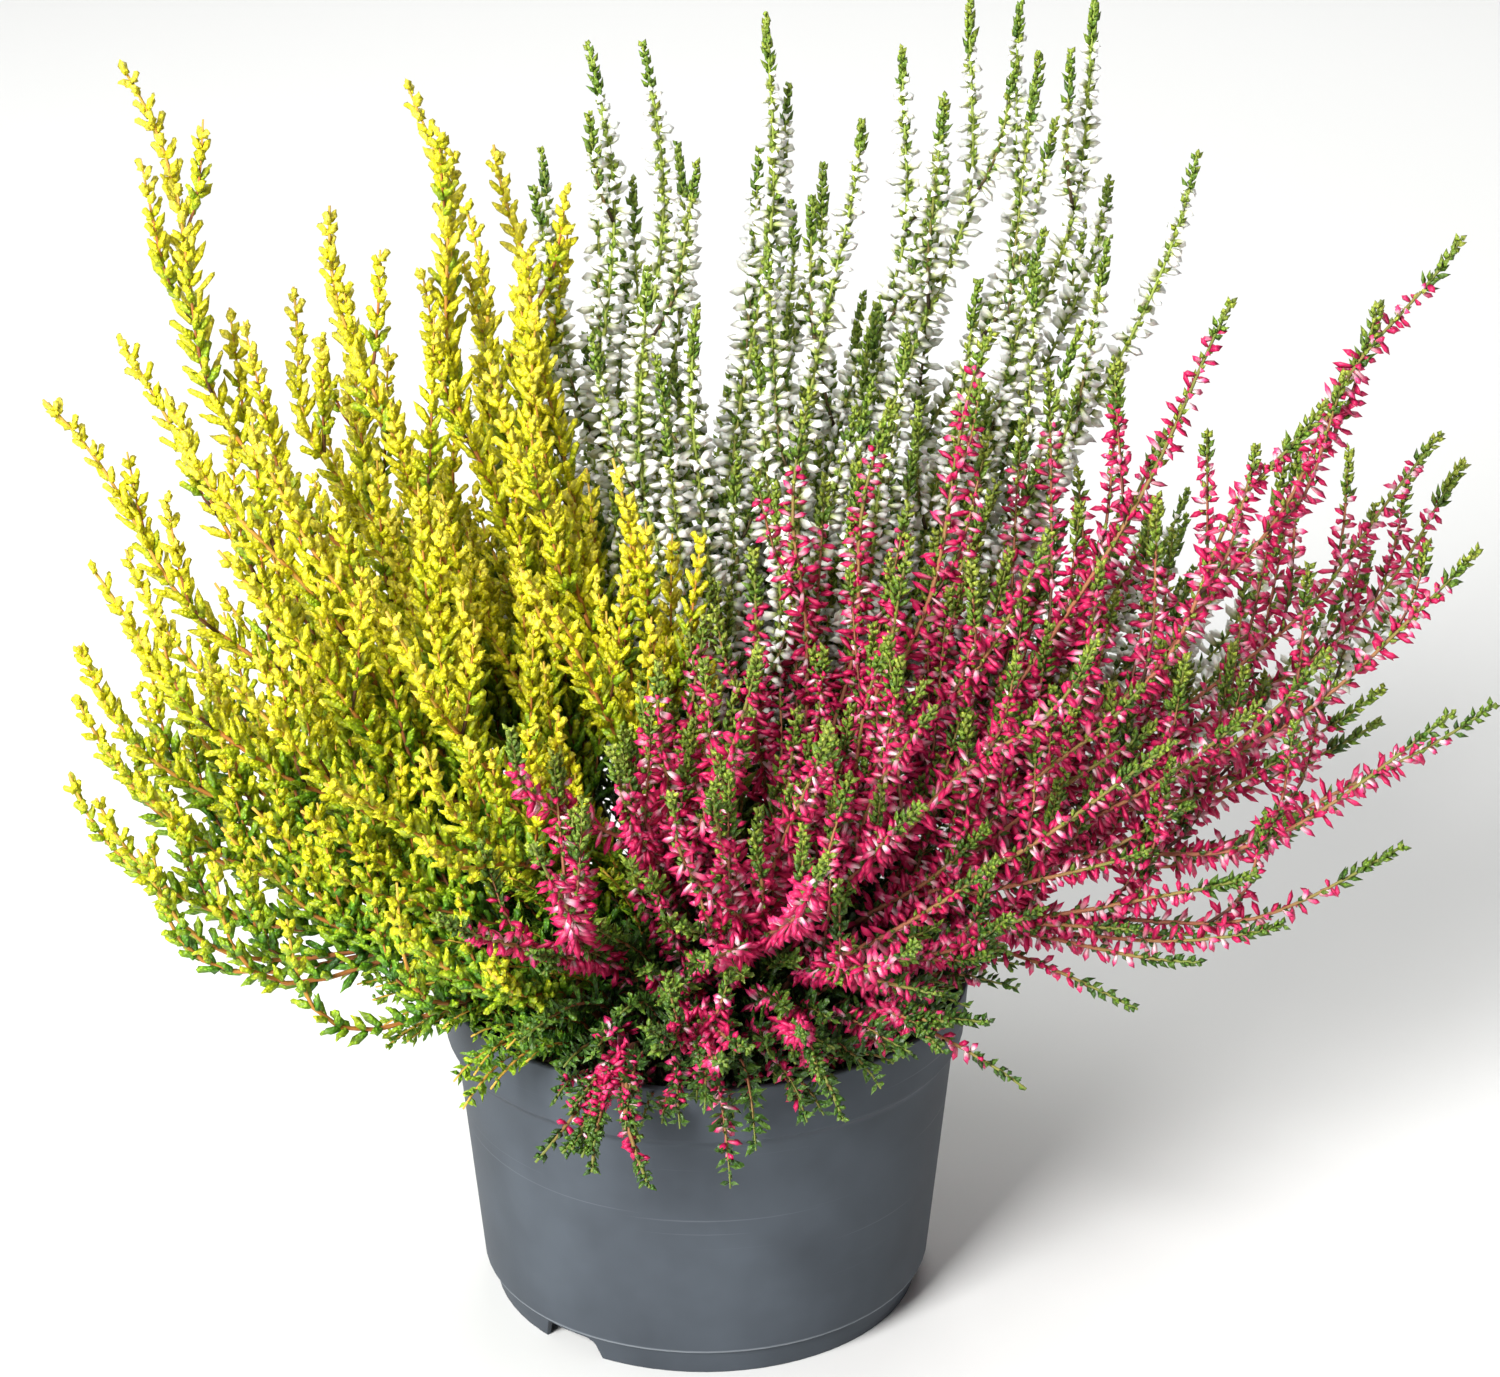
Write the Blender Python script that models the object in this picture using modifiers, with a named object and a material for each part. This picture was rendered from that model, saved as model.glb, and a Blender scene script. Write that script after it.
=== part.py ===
"""Potted heather: a yellow, a white and a pink heather grown together in one nursery pot.

Sizes are in metres and +Z is up. The origin is the middle of the pot's underside. A bearing is
counted from +X (the right) towards +Y (the back), so the front of the pot is at 270 degrees.
"""

import math

import bmesh
import bpy
import numpy as np
from mathutils import Matrix

# Pot, a thin-walled plastic shell
POT_HEIGHT = 0.090
RIM_RADIUS = 0.070
LIP_WIDTH = 0.0014
LIP_EDGE = 0.0006
BAND_BOTTOM = 0.0745
BAND_TAPER = 0.0011
BAND_WALL = 0.0020
NECK_RADIUS = 0.0665
NECK_HEIGHT = 0.0720
STEP_RADIUS = 0.06035
STEP_HEIGHT = 0.0079
STEP_INSET = 0.0014
FOOT_RADIUS = 0.0572
FLOOR_HEIGHT = 0.0070
FLOOR_EDGE = 0.0580
FLOOR_CORNER = 0.0010
PAD_RADIUS = 0.018
PAD_SLOPE = 0.005
WALL = 0.0013
POT_SIDES = 36

# Slots through the foot and holes through the floor
NOTCH_BEARINGS = (52, 232)
NOTCH_WIDTH = 0.019
NOTCH_TAPER = 0.005
NOTCH_HEIGHT = 0.0064
NOTCH_DEPTH = 0.020
DRAIN_COUNT = 6
DRAIN_RADIUS = 0.0045
DRAIN_RING = 0.040

# Soil
GAP = 0.0003
SOIL_TOP = 0.080
SOIL_BEVEL = 0.004
HOLE_DEPTH = 0.008

# The bush: where stems stand and how they lean
SPRAY_COUNT = 44
SHOOT_COUNT = 128
STEM_RING = 0.049
GOLDEN_TURN = math.pi * (3 - math.sqrt(5))
CLOSEST_SEEDS = 0.14
LEAN_RISE = 0.058
LEAN_TURN_START = 0.070
LEAN_TURN_RUN = 0.160
SWAY = 0.005
SWAY_WAVE = 0.150
FORK_RUN = 0.080
FORK_STEP = 0.010
FIRST_FORK = 0.020

# One shoot: a four-cornered stem whose every other corner stands out as a leaf or a bud
AROUND = 4
LEVEL_STEP = 0.0104
STEM_RADIUS = 0.0014
STEM_DEPTH = 0.007
LEAF_START = 0.006
CORE_SHARE = 0.5
FORK_CLEARANCE = 0.011
PATH_STEP = 0.0025
SHARE_OF_ROOM = 0.46
RIM_CLEARANCE = 0.0035

# Each plant's stretch of bearings, where 377 is 17 past a whole turn
SECTORS = {"white": (17, 122), "yellow": (122, 240), "pink": (240, 377)}

# Leaf or bud reach from the stem: low on the shoot, below the tip, at the tip; length of the tip;
# and how far each leaf or bud leans up the stem, as a share of the step between rings
HABITS = {
    "yellow": (0.0105, 0.0078, 0.0030, 0.110, 0.80),
    "white": (0.0095, 0.0052, 0.0030, 0.024, 0.25),
    "pink": (0.0100, 0.0064, 0.0037, 0.036, 0.45),
}

# The shoots that make the outline, each as the share of the stem ring, the bearing and the length
TALL_SHOOTS = (
    (0.45, 170, 0.270), (0.28, 150, 0.250), (0.33, 165, 0.225), (0.30, 130, 0.230),
    (0.60, 180, 0.205), (0.55, 170, 0.205), (0.46, 190, 0.205), (0.41, 195, 0.185),
    (0.65, 190, 0.180), (0.88, 195, 0.100), (0.18, 175, 0.185), (0.24, 115, 0.250),
    (0.20, 105, 0.250), (0.36, 119, 0.225), (0.35, 95, 0.220), (0.25, 75, 0.255),
    (0.20, 45, 0.230), (0.41, 60, 0.250), (0.37, 47, 0.265), (0.48, 50, 0.275),
    (0.43, 36, 0.280), (0.53, 40, 0.235), (0.50, 25, 0.245), (0.94, 19, 0.205),
    (0.58, 0, 0.260), (0.45, 0, 0.220), (0.52, 350, 0.220), (0.26, 355, 0.200),
    (0.73, 10, 0.220), (0.82, 15, 0.225), (0.79, 5, 0.205), (0.83, 352, 0.175),
    (0.82, 342, 0.130), (0.86, 332, 0.095), (0.14, 290, 0.140), (0.31, 260, 0.135),
    (0.43, 242, 0.140), (0.33, 275, 0.145), (0.40, 288, 0.135), (0.49, 303, 0.120),
)

COLOURS = {
    "pot": (0.085, 0.095, 0.107, 1.0),
    "soil": (0.035, 0.022, 0.014, 1.0),
    "yellow": (0.56, 0.57, 0.03, 1.0),
    "white": (0.52, 0.60, 0.42, 1.0),
    "pink": (0.50, 0.03, 0.16, 1.0),
}


def clear_scene():
    """Remove the objects that Blender opens with."""
    for obj in list(bpy.data.objects):
        bpy.data.objects.remove(obj, do_unlink=True)


def new_collection(name):
    """Add a collection to the scene."""
    collection = bpy.data.collections.new(name)
    bpy.context.scene.collection.children.link(collection)
    return collection


def new_material(name, colour, roughness):
    """A plain material of one colour."""
    material = bpy.data.materials.new(name)
    material.use_nodes = True
    shader = material.node_tree.nodes["Principled BSDF"]
    shader.inputs["Base Color"].default_value = colour
    shader.inputs["Roughness"].default_value = roughness
    material.diffuse_color = colour
    return material


def object_from_bmesh(name, bm, collection, material=None):
    """Put a bmesh into a new object and free it."""
    mesh = bpy.data.meshes.new(name)
    bm.to_mesh(mesh)
    bm.free()
    obj = bpy.data.objects.new(name, mesh)
    collection.objects.link(obj)
    if material:
        mesh.materials.append(material)
    return obj


def turned(name, profile, collection, material):
    """Turn a profile, given as (radius, height) pairs, once about the Z axis."""
    bm = bmesh.new()
    corners = [bm.verts.new((radius, 0, height)) for radius, height in profile]
    for start, end in zip(corners, corners[1:]):
        bm.edges.new((start, end))
    obj = object_from_bmesh(name, bm, collection, material)
    screw = obj.modifiers.new("turn", "SCREW")
    screw.steps = POT_SIDES
    screw.render_steps = POT_SIDES
    screw.use_merge_vertices = True
    screw.merge_threshold = 0.00001
    return obj


def cut(obj, cutter):
    """Take the cutter's shape out of an object."""
    boolean = obj.modifiers.new("cut", "BOOLEAN")
    boolean.operation = "DIFFERENCE"
    boolean.object = cutter
    cutter.hide_render = True
    cutter.display_type = "WIRE"


def apply_modifiers(obj):
    """Replace an object's mesh by its evaluated one."""
    graph = bpy.context.evaluated_depsgraph_get()
    mesh = bpy.data.meshes.new_from_object(obj.evaluated_get(graph))
    obj.modifiers.clear()
    obj.data = mesh


# Pot

def wall_radius(height):
    """Outer radius of the pot's straight wall at a height between its foot and its neck."""
    share = (height - STEP_HEIGHT) / (NECK_HEIGHT - STEP_HEIGHT)
    return STEP_RADIUS + (NECK_RADIUS - STEP_RADIUS) * share


def inside_profile(gap):
    """Floor and wall of the pot's inside from the axis up to the neck, moved inwards by a gap."""
    floor = FLOOR_HEIGHT + WALL
    corner = floor + FLOOR_CORNER
    return [
        (0, WALL + gap),
        (PAD_RADIUS - gap, WALL + gap),
        (PAD_RADIUS + PAD_SLOPE - gap, floor + gap),
        (FLOOR_EDGE - gap, floor + gap),
        (wall_radius(corner) - WALL - gap, corner + gap),
        (NECK_RADIUS - WALL - gap, NECK_HEIGHT),
    ]


def pot_profile():
    """Inside floor, inside wall, rim, outside wall, foot and underside, in that order."""
    return inside_profile(0) + [
        (RIM_RADIUS - BAND_TAPER - BAND_WALL, BAND_BOTTOM + WALL),
        (RIM_RADIUS - LIP_EDGE - LIP_WIDTH, POT_HEIGHT),
        (RIM_RADIUS - LIP_EDGE, POT_HEIGHT),
        (RIM_RADIUS, POT_HEIGHT - LIP_EDGE),
        (RIM_RADIUS - BAND_TAPER, BAND_BOTTOM),
        (NECK_RADIUS, NECK_HEIGHT),
        (STEP_RADIUS, STEP_HEIGHT),
        (STEP_RADIUS - STEP_INSET, FLOOR_HEIGHT),
        (FOOT_RADIUS, 0),
        (FOOT_RADIUS - WALL, 0),
        (FOOT_RADIUS, FLOOR_HEIGHT),
        (PAD_RADIUS + PAD_SLOPE, FLOOR_HEIGHT),
        (PAD_RADIUS, 0),
        (0, 0),
    ]


def notch_cutter(collection):
    """Slots through the foot ring, narrower at the top, where water runs out."""
    bm = bmesh.new()
    for bearing in NOTCH_BEARINGS:
        block = bmesh.ops.create_cube(bm, size=1)["verts"]
        for vert in block:
            x, y, z = vert.co
            top = z > 0
            along = FOOT_RADIUS + NOTCH_DEPTH * x
            across = y * (NOTCH_WIDTH - NOTCH_TAPER * top)
            angle = math.radians(bearing)
            vert.co.x = along * math.cos(angle) - across * math.sin(angle)
            vert.co.y = along * math.sin(angle) + across * math.cos(angle)
            vert.co.z = NOTCH_HEIGHT if top else -NOTCH_HEIGHT
    return object_from_bmesh("notch_cutter", bm, collection)


def drain_cutter(collection):
    """Round holes through the raised ring of the pot's floor."""
    bm = bmesh.new()
    for turn in range(DRAIN_COUNT):
        angle = 2 * math.pi * (turn + 0.5) / DRAIN_COUNT
        made = bmesh.ops.create_cone(
            bm, cap_ends=True, segments=8, radius1=DRAIN_RADIUS, radius2=DRAIN_RADIUS,
            depth=4 * WALL
        )
        place = (DRAIN_RING * math.cos(angle), DRAIN_RING * math.sin(angle), FLOOR_HEIGHT)
        bmesh.ops.translate(bm, verts=made["verts"], vec=place)
    return object_from_bmesh("drain_cutter", bm, collection)


def make_pot(parts, cutters):
    """The nursery pot with its foot notches and drain holes."""
    pot = turned("pot", pot_profile(), parts, new_material("pot", COLOURS["pot"], 0.5))
    cut(pot, notch_cutter(cutters))
    cut(pot, drain_cutter(cutters))


# Soil

def soil_profile():
    """Top, bevelled edge, and the sides and underside just inside the pot."""
    gap = GAP + 0.0002
    edge = NECK_RADIUS - WALL - gap
    filling = inside_profile(gap)
    return [(0, SOIL_TOP), (edge - SOIL_BEVEL, SOIL_TOP), (edge, SOIL_TOP - SOIL_BEVEL)] + filling[::-1]


def stem_hole_cutter(feet, collection):
    """A square peg round the foot of every stem, a little wider than the stem at its mouth."""
    bm = bmesh.new()
    for foot in feet:
        made = bmesh.ops.create_cone(
            bm, cap_ends=True, segments=AROUND, radius1=STEM_RADIUS + 2 * GAP,
            radius2=STEM_RADIUS + 4 * GAP, depth=1.5 * HOLE_DEPTH
        )
        turn = Matrix.Rotation(math.atan2(foot[1], foot[0]) + math.pi / AROUND, 3, "Z")
        bmesh.ops.rotate(bm, verts=made["verts"], matrix=turn)
        centre = (foot[0], foot[1], SOIL_TOP - 0.25 * HOLE_DEPTH)
        bmesh.ops.translate(bm, verts=made["verts"], vec=centre)
    return object_from_bmesh("stem_hole_cutter", bm, collection)


def make_soil(sprays, parts, cutters):
    """The root ball, filled to just under the rim, with a plain hole for each stem."""
    soil = turned("soil", soil_profile(), parts, new_material("soil", COLOURS["soil"], 0.95))
    feet = [point_at(spray["seed"], np.zeros(1))[0] for spray in sprays]
    cut(soil, stem_hole_cutter(feet, cutters))


# Layout of the bush. A seed is a point of the unit disc, as a complex number: its angle is the
# bearing that the shoot leans to, and its distance says how far out it stands and how much it leans

def ease(x):
    """Smooth step from 0 to 1."""
    x = np.clip(x, 0, 1)
    return x * x * (3 - 2 * x)


def sunflower(count):
    """Evenly spread seeds, each a golden turn after the last."""
    step = np.arange(count) + 0.5
    return np.sqrt(step / count) * np.exp(1j * GOLDEN_TURN * step)


def full_lean(seed):
    """Greatest lean from upright of a shoot: little at the back, hanging at the front edge."""
    facing = np.sin(np.angle(seed))
    front_edge = np.clip(-facing, 0, 1) * np.abs(seed)
    return np.radians(90 - 13 * facing + 40 * front_edge ** 4) * np.abs(seed)


def lean_share(length):
    """Share of the full lean along a shoot: upright in the pot, out over the rim, then up again."""
    rise = ease(length / LEAN_RISE)
    return 0.30 + 0.70 * rise - 0.42 * np.clip((length - LEAN_TURN_START) / LEAN_TURN_RUN, 0, 1.4)


def sway(points, length):
    """A slow waver shared by neighbours, so that shoots bend alike and stay apart."""
    x, y, z = points.T
    wave = 2 * math.pi / SWAY_WAVE
    along_x = np.sin(wave * (z + 0.6 * y) + 0.7)
    along_y = np.sin(wave * (x - 0.7 * z) + 2.1)
    along_z = 0.5 * np.sin(wave * (y + 0.5 * x) + 4.0)
    grow = np.clip((length - 0.03) / 0.10, 0, 1)
    return SWAY * grow[:, None] * np.stack([along_x, along_y, along_z], axis=1)


def point_at(seed, length):
    """Points at the given lengths along the shoots of one seed, or of one seed each."""
    seed = np.broadcast_to(seed, length.shape)
    steps = (np.arange(32) + 0.5) / 32
    angle = full_lean(seed)[:, None] * lean_share(length[:, None] * steps)
    out = STEM_RING * np.abs(seed) + length * np.sin(angle).mean(axis=1)
    up = SOIL_TOP + length * np.cos(angle).mean(axis=1)
    towards = np.exp(1j * np.angle(seed))
    points = np.stack([out * towards.real, out * towards.imag, up], axis=1)
    return points + sway(points, length)


def usual_length(seed):
    """Length of a shoot by its place: long at the back and the right, short at the front edge."""
    facing = np.sin(np.angle(seed))
    front = np.clip(-facing, 0, 1)
    back = np.clip(facing, 0, 1)
    left = np.clip(-np.cos(np.angle(seed)), 0, 1)
    inner = 0.200 + 0.035 * back - 0.060 * front
    outer = 0.078 + (0.120 - 0.040 * left) * (1 - ease(front / 0.55)) - 0.020 * back
    return inner + (outer - inner) * ease((np.abs(seed) - 0.45) / 0.40)


def seed_shoots():
    """Seeds and lengths of all the shoots, with the tall ones put in their own places."""
    rng = np.random.default_rng(11)
    seeds = sunflower(SHOOT_COUNT) * 0.96
    lengths = usual_length(seeds) * rng.uniform(0.78, 1.04, SHOOT_COUNT)
    held = np.zeros(SHOOT_COUNT, bool)
    for ring, bearing, length in TALL_SHOOTS:
        seed = ring * np.exp(1j * math.radians(bearing))
        nearest = int(np.argmin(np.abs(seeds - seed) + 9 * held))
        seeds[nearest], lengths[nearest], held[nearest] = seed, length, True
    for _ in range(60):
        away = seeds[:, None] - seeds[None]
        far = np.abs(away) + 9 * np.eye(SHOOT_COUNT)
        push = np.where(far < CLOSEST_SEEDS, (CLOSEST_SEEDS - far) / far, 0)
        seeds = np.where(held, seeds, seeds + 0.4 * (away * push).sum(axis=1))
        seeds = seeds / np.maximum(1, np.abs(seeds))
    return seeds, lengths


def plant_at(seed):
    """Name of the plant that stands at a seed's bearing."""
    bearing = math.degrees(np.angle(seed)) % 360
    for plant, (start, end) in SECTORS.items():
        if start <= bearing < end or start <= bearing + 360 < end:
            return plant
    return "pink"


def lay_out_sprays():
    """Group each plant's shoots by their nearest spray; the first of a group is its main shoot."""
    seeds, lengths = seed_shoots()
    centres = sunflower(SPRAY_COUNT) * 0.95
    unlike = np.array([[plant_at(a) != plant_at(b) for b in centres] for a in seeds])
    nearest = np.argmin(np.abs(seeds[:, None] - centres[None]) + unlike, axis=1)
    sprays = []
    for index, centre in enumerate(centres):
        members = sorted(np.flatnonzero(nearest == index), key=lambda k: abs(seeds[k] - centre))
        shoots = [(seeds[k], lengths[k]) for k in members]
        sprays.append({"seed": centre, "plant": plant_at(centre), "shoots": shoots})
    for spray in sprays:
        paths = [shoot_path(spray, k, PATH_STEP)[1] for k in range(len(spray["shoots"]))]
        spray["paths"] = np.concatenate(paths)
    return sprays


def shoot_path(spray, index, spacing):
    """Lengths and points along one shoot; a side shoot leaves the main one at its fork."""
    seed, total = spray["shoots"][index]
    begin = FIRST_FORK + FORK_STEP * (index % 3) if index else 0.0
    count = max(4, round((total - begin) / spacing))
    length = np.linspace(begin, total, count + 1)
    main_seed = spray["shoots"][0][0]
    path_seed = spray["seed"] + (main_seed - spray["seed"]) * ease(length / FORK_RUN)
    if index:
        path_seed = path_seed + (seed - path_seed) * ease((length - begin) / FORK_RUN)
    return length, point_at(path_seed, length)


# Shoots as meshes

def reach_along(plant, length, total):
    """How far the leaves or buds stand out along a shoot."""
    low, high, tip, tip_length, _ = HABITS[plant]
    reach = low + (high - low) * ease((length - 0.055) / 0.060)
    towards_tip = np.clip((length - total + tip_length) / tip_length, 0, 1)
    return reach + (tip - reach) * towards_tip


def room_round(points, spray, sprays):
    """Half the way to the nearest other spray, and short of the pot's rim."""
    others = [other["paths"] for other in sprays if other is not spray]
    gaps = np.linalg.norm(points[:, None] - np.concatenate(others)[None], axis=2).min(axis=1)
    beside_rim = np.hypot(points[:, 0], points[:, 1]) - RIM_RADIUS
    to_rim = np.hypot(beside_rim, points[:, 2] - POT_HEIGHT)
    return np.minimum(SHARE_OF_ROOM * gaps, to_rim - RIM_CLEARANCE)


def clear_of(points, others, distance):
    """Index of the first point from which the path stays clear of the other paths."""
    gaps = np.linalg.norm(points[:, None] - others[None], axis=2).min(axis=1)
    close = np.flatnonzero(gaps < distance)
    return min(close[-1] + 1 if len(close) else 0, len(points) // 2)


def cross_directions(points):
    """Tangent, and two directions across it, at each point of a path."""
    tangent = np.gradient(points, axis=0)
    tangent /= np.linalg.norm(tangent, axis=1)[:, None]
    outward = points[-1, :2] - points[0, :2]
    sideways = np.array([-outward[1], outward[0], 0]) / max(np.hypot(*outward), 1e-6)
    across = sideways - (tangent @ sideways)[:, None] * tangent
    across /= np.linalg.norm(across, axis=1)[:, None]
    return tangent, across, np.cross(tangent, across)


def ring_points(points, reach, leafy_from, lean):
    """Corners of every ring: on the bare stem all alike, above it every other one stands out."""
    tangent, across, over = cross_directions(points)
    grown = ease((np.arange(len(points)) - leafy_from + 1.4) / 2)
    grown[:leafy_from] = 0
    level = np.arange(len(points))[:, None]
    corner = np.arange(AROUND)[None]
    raised = (level + corner) % 2 == 0
    core = STEM_RADIUS + (CORE_SHARE * reach - STEM_RADIUS) * grown
    tall = STEM_RADIUS + (reach - STEM_RADIUS) * grown
    radius = np.where(raised, tall[:, None], core[:, None])
    lift = np.where(raised, lean * LEVEL_STEP * grown[:, None], 0)
    angle = 2 * np.pi * (corner + 0.5) / AROUND
    spokes = np.cos(angle)[..., None] * across[:, None] + np.sin(angle)[..., None] * over[:, None]
    return points[:, None] + radius[..., None] * spokes + lift[..., None] * tangent[:, None]


def shoot_mesh(name, points, reach, leafy_from, lean, collection):
    """Bend a grid into the closed, four-cornered body of a shoot."""
    rings = ring_points(points, reach, leafy_from, lean)
    rings[0] = points[0]
    rings[-1] = points[-1]
    levels = len(points) - 1
    bm = bmesh.new()
    bmesh.ops.create_grid(bm, x_segments=AROUND, y_segments=levels, size=0.5)
    for vert in bm.verts:
        corner = round((vert.co.x + 0.5) * AROUND) % AROUND
        level = round((vert.co.y + 0.5) * levels)
        vert.co = rings[level, corner]
    bmesh.ops.remove_doubles(bm, verts=bm.verts, dist=0.00001)
    bmesh.ops.triangulate(bm, faces=bm.faces, quad_method="SHORT_EDGE")
    bmesh.ops.recalc_face_normals(bm, faces=bm.faces)
    return object_from_bmesh(name, bm, collection)


def join_shoots(main, side_collection):
    """Fuse the side shoots into the main one."""
    union = main.modifiers.new("join", "BOOLEAN")
    union.operation = "UNION"
    union.operand_type = "COLLECTION"
    union.collection = side_collection
    union.solver = "EXACT"
    apply_modifiers(main)
    for obj in list(side_collection.objects):
        bpy.data.objects.remove(obj, do_unlink=True)


def make_spray(name, sprays, spray, parts, material):
    """One leafy stem with its side shoots, standing in its hole."""
    plant = spray["plant"]
    lean = HABITS[plant][4]
    sides = bpy.data.collections.new(name + "_sides")
    earlier = np.zeros((0, 3))
    for index, (_, total) in enumerate(spray["shoots"]):
        length, points = shoot_path(spray, index, LEVEL_STEP)
        reach = np.minimum(reach_along(plant, length, total), room_round(points, spray, sprays))
        if index:
            leafy_from = max(2, clear_of(points, earlier, FORK_CLEARANCE))
            shoot_mesh(f"{name}_{index}", points, reach, leafy_from, lean, sides)
        else:
            foot = points[0] - np.array([0, 0, STEM_DEPTH])
            leafy_from = 1 + int(np.argmax(length > LEAF_START))
            points = np.concatenate([[foot], points])
            reach = np.concatenate([[STEM_RADIUS], reach])
            main = shoot_mesh(name, points, reach, leafy_from, lean, parts)
        earlier = np.concatenate([earlier, shoot_path(spray, index, PATH_STEP)[1]])
    if len(spray["shoots"]) > 1:
        join_shoots(main, sides)
    bpy.data.collections.remove(sides)
    main.data.materials.clear()
    main.data.materials.append(material)


def main():
    """Build the whole plant."""
    clear_scene()
    parts = new_collection("potted_heather")
    cutters = new_collection("cutters")
    sprays = lay_out_sprays()
    make_pot(parts, cutters)
    make_soil(sprays, parts, cutters)
    materials = {}
    for plant in SECTORS:
        materials[plant] = new_material(plant + "_heather", COLOURS[plant], 0.7)
    counts = dict.fromkeys(SECTORS, 0)
    for spray in sprays:
        plant = spray["plant"]
        counts[plant] += 1
        name = f"{plant}_spray_{counts[plant]:02d}"
        make_spray(name, sprays, spray, parts, materials[plant])


main()
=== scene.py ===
"""Potted heather: a yellow, a white and a pink heather grown together in one nursery pot.

Sizes are in metres and +Z is up. The origin is the middle of the pot's underside. A bearing is
counted from +X (the right) towards +Y (the back), so the front of the pot is at 270 degrees.
"""

import math

import bpy
import numpy as np
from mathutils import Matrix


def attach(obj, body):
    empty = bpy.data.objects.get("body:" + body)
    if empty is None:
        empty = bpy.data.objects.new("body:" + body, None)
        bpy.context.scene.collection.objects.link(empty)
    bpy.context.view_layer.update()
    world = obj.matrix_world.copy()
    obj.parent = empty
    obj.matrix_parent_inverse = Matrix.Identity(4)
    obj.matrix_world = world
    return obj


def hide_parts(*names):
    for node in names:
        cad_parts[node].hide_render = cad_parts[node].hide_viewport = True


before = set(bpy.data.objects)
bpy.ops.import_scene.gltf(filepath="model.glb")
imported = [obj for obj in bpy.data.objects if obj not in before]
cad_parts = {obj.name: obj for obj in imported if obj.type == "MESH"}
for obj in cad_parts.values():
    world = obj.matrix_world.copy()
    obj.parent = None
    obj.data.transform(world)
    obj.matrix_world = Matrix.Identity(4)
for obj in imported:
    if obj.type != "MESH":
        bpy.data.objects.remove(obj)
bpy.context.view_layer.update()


# Nursery pot. A thin shell of black-grey polypropylene, injection moulded in one piece: a tapered
# wall, a rim band that stands proud of it, a foot ring that sets in under a sharp line, slots
# through the foot and drain holes in the floor. The wall is scuffed where pots were stacked.

# Outside, from the rim down to the foot
POT_HEIGHT = 0.090
RIM_RADIUS = 0.070
LIP_WIDTH = 0.0014
LIP_EDGE = 0.0006
BAND_BOTTOM = 0.0745
BAND_TAPER = 0.0011
BAND_WALL = 0.0020
NECK_RADIUS = 0.0665
NECK_HEIGHT = 0.0720
STEP_RADIUS = 0.06035
STEP_HEIGHT = 0.0079
STEP_INSET = 0.0014
FOOT_RADIUS = 0.0572
FOOT_SLOPE = 0.22

# Underside and floor, with a pad in the middle that reaches the ground
FOOT_START = 0.054
FLOOR_HEIGHT = 0.0070
PAD_RADIUS = 0.018
PAD_SLOPE = 0.005
WALL = 0.0013

# Slots through the foot, and drain holes in the floor
NOTCH_BEARINGS = np.radians([52, 232])
NOTCH_WIDTH = 0.019
NOTCH_TAPER = 0.005
NOTCH_HEIGHT = 0.0062
NOTCH_CURVE = 0.6
NOTCH_EDGES = 11
DRAIN_COUNT = 6
DRAIN_RADIUS = 0.0045
DRAIN_RING = 0.040
DRAIN_SIDES = 24

# How finely the surface is laid out, and the angle in degrees from which an edge is sharp
POT_SIDES = 72
PROFILE_STEP = 0.012
NEAR_AXIS = 0.0002
SHARP_EDGE = 38

# The plastic: flow marks and scuffs are counted per metre, so they are 26 mm wide, and 110 mm long
# by 1.1 mm high. The grain is coarser than a real mould's, to show at all.
FLOW_MARKS = 38
SCUFFS = (9, 9, 900)
SCUFF_TILT = (0.045, 0.03, 0)
PLASTIC_GRAIN = 0.0012


def linear(hex_colour):
    """Linear colour of an sRGB hex value: each channel above 4 % is raised to the power 2.4."""
    channels = np.array([int(hex_colour[k:k + 2], 16) for k in (1, 3, 5)]) / 255
    bright = ((channels + 0.055) / 1.055) ** 2.4
    return (*np.where(channels > 0.04045, bright, channels / 12.92).tolist(), 1.0)


def skin_faces(rings, sides):
    """Triangles of a closed skin whose points are one end, ring after ring, and the other end: a
    fan to each end and two triangles for every square of the grid between the rings."""
    here = np.arange(sides)
    beside = (here + 1) % sides
    start = 1 + sides * np.arange(rings - 1)[:, None]
    low, low_beside = start + here, start + beside
    high, high_beside = low + sides, low_beside + sides
    top = 1 + sides * (rings - 1)
    return np.concatenate([
        np.stack([0 * here, 1 + beside, 1 + here], axis=1),
        np.stack([low, low_beside, high_beside], axis=-1).reshape(-1, 3),
        np.stack([low, high_beside, high], axis=-1).reshape(-1, 3),
        np.stack([top + here, top + beside, 0 * here + rings * sides + 1], axis=1),
    ])


def scene_object(name, data):
    """An object at the origin, put into the scene."""
    obj = bpy.data.objects.new(name, data)
    bpy.context.scene.collection.objects.link(obj)
    return obj


def mesh_object(name, points, faces):
    """A smooth-shaded object of triangles, with its place in its mesh."""
    mesh = bpy.data.meshes.new(name)
    mesh.vertices.add(len(points))
    mesh.vertices.foreach_set("co", points.astype(np.float32).ravel())
    mesh.loops.add(faces.size)
    mesh.loops.foreach_set("vertex_index", faces.astype(np.int32).ravel())
    mesh.polygons.add(len(faces))
    mesh.polygons.foreach_set("loop_start", np.arange(0, faces.size, 3, dtype=np.int32))
    mesh.update(calc_edges=True)
    mesh.shade_smooth()
    return scene_object(name, mesh)


def connect(material, socket, source):
    """Set a socket to a value, or link it to an output. A node stands for its first output."""
    if isinstance(source, bpy.types.Node):
        source = source.outputs[0]
    if isinstance(source, bpy.types.NodeSocket):
        material.node_tree.links.new(socket, source)
    else:
        socket.default_value = source


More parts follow.
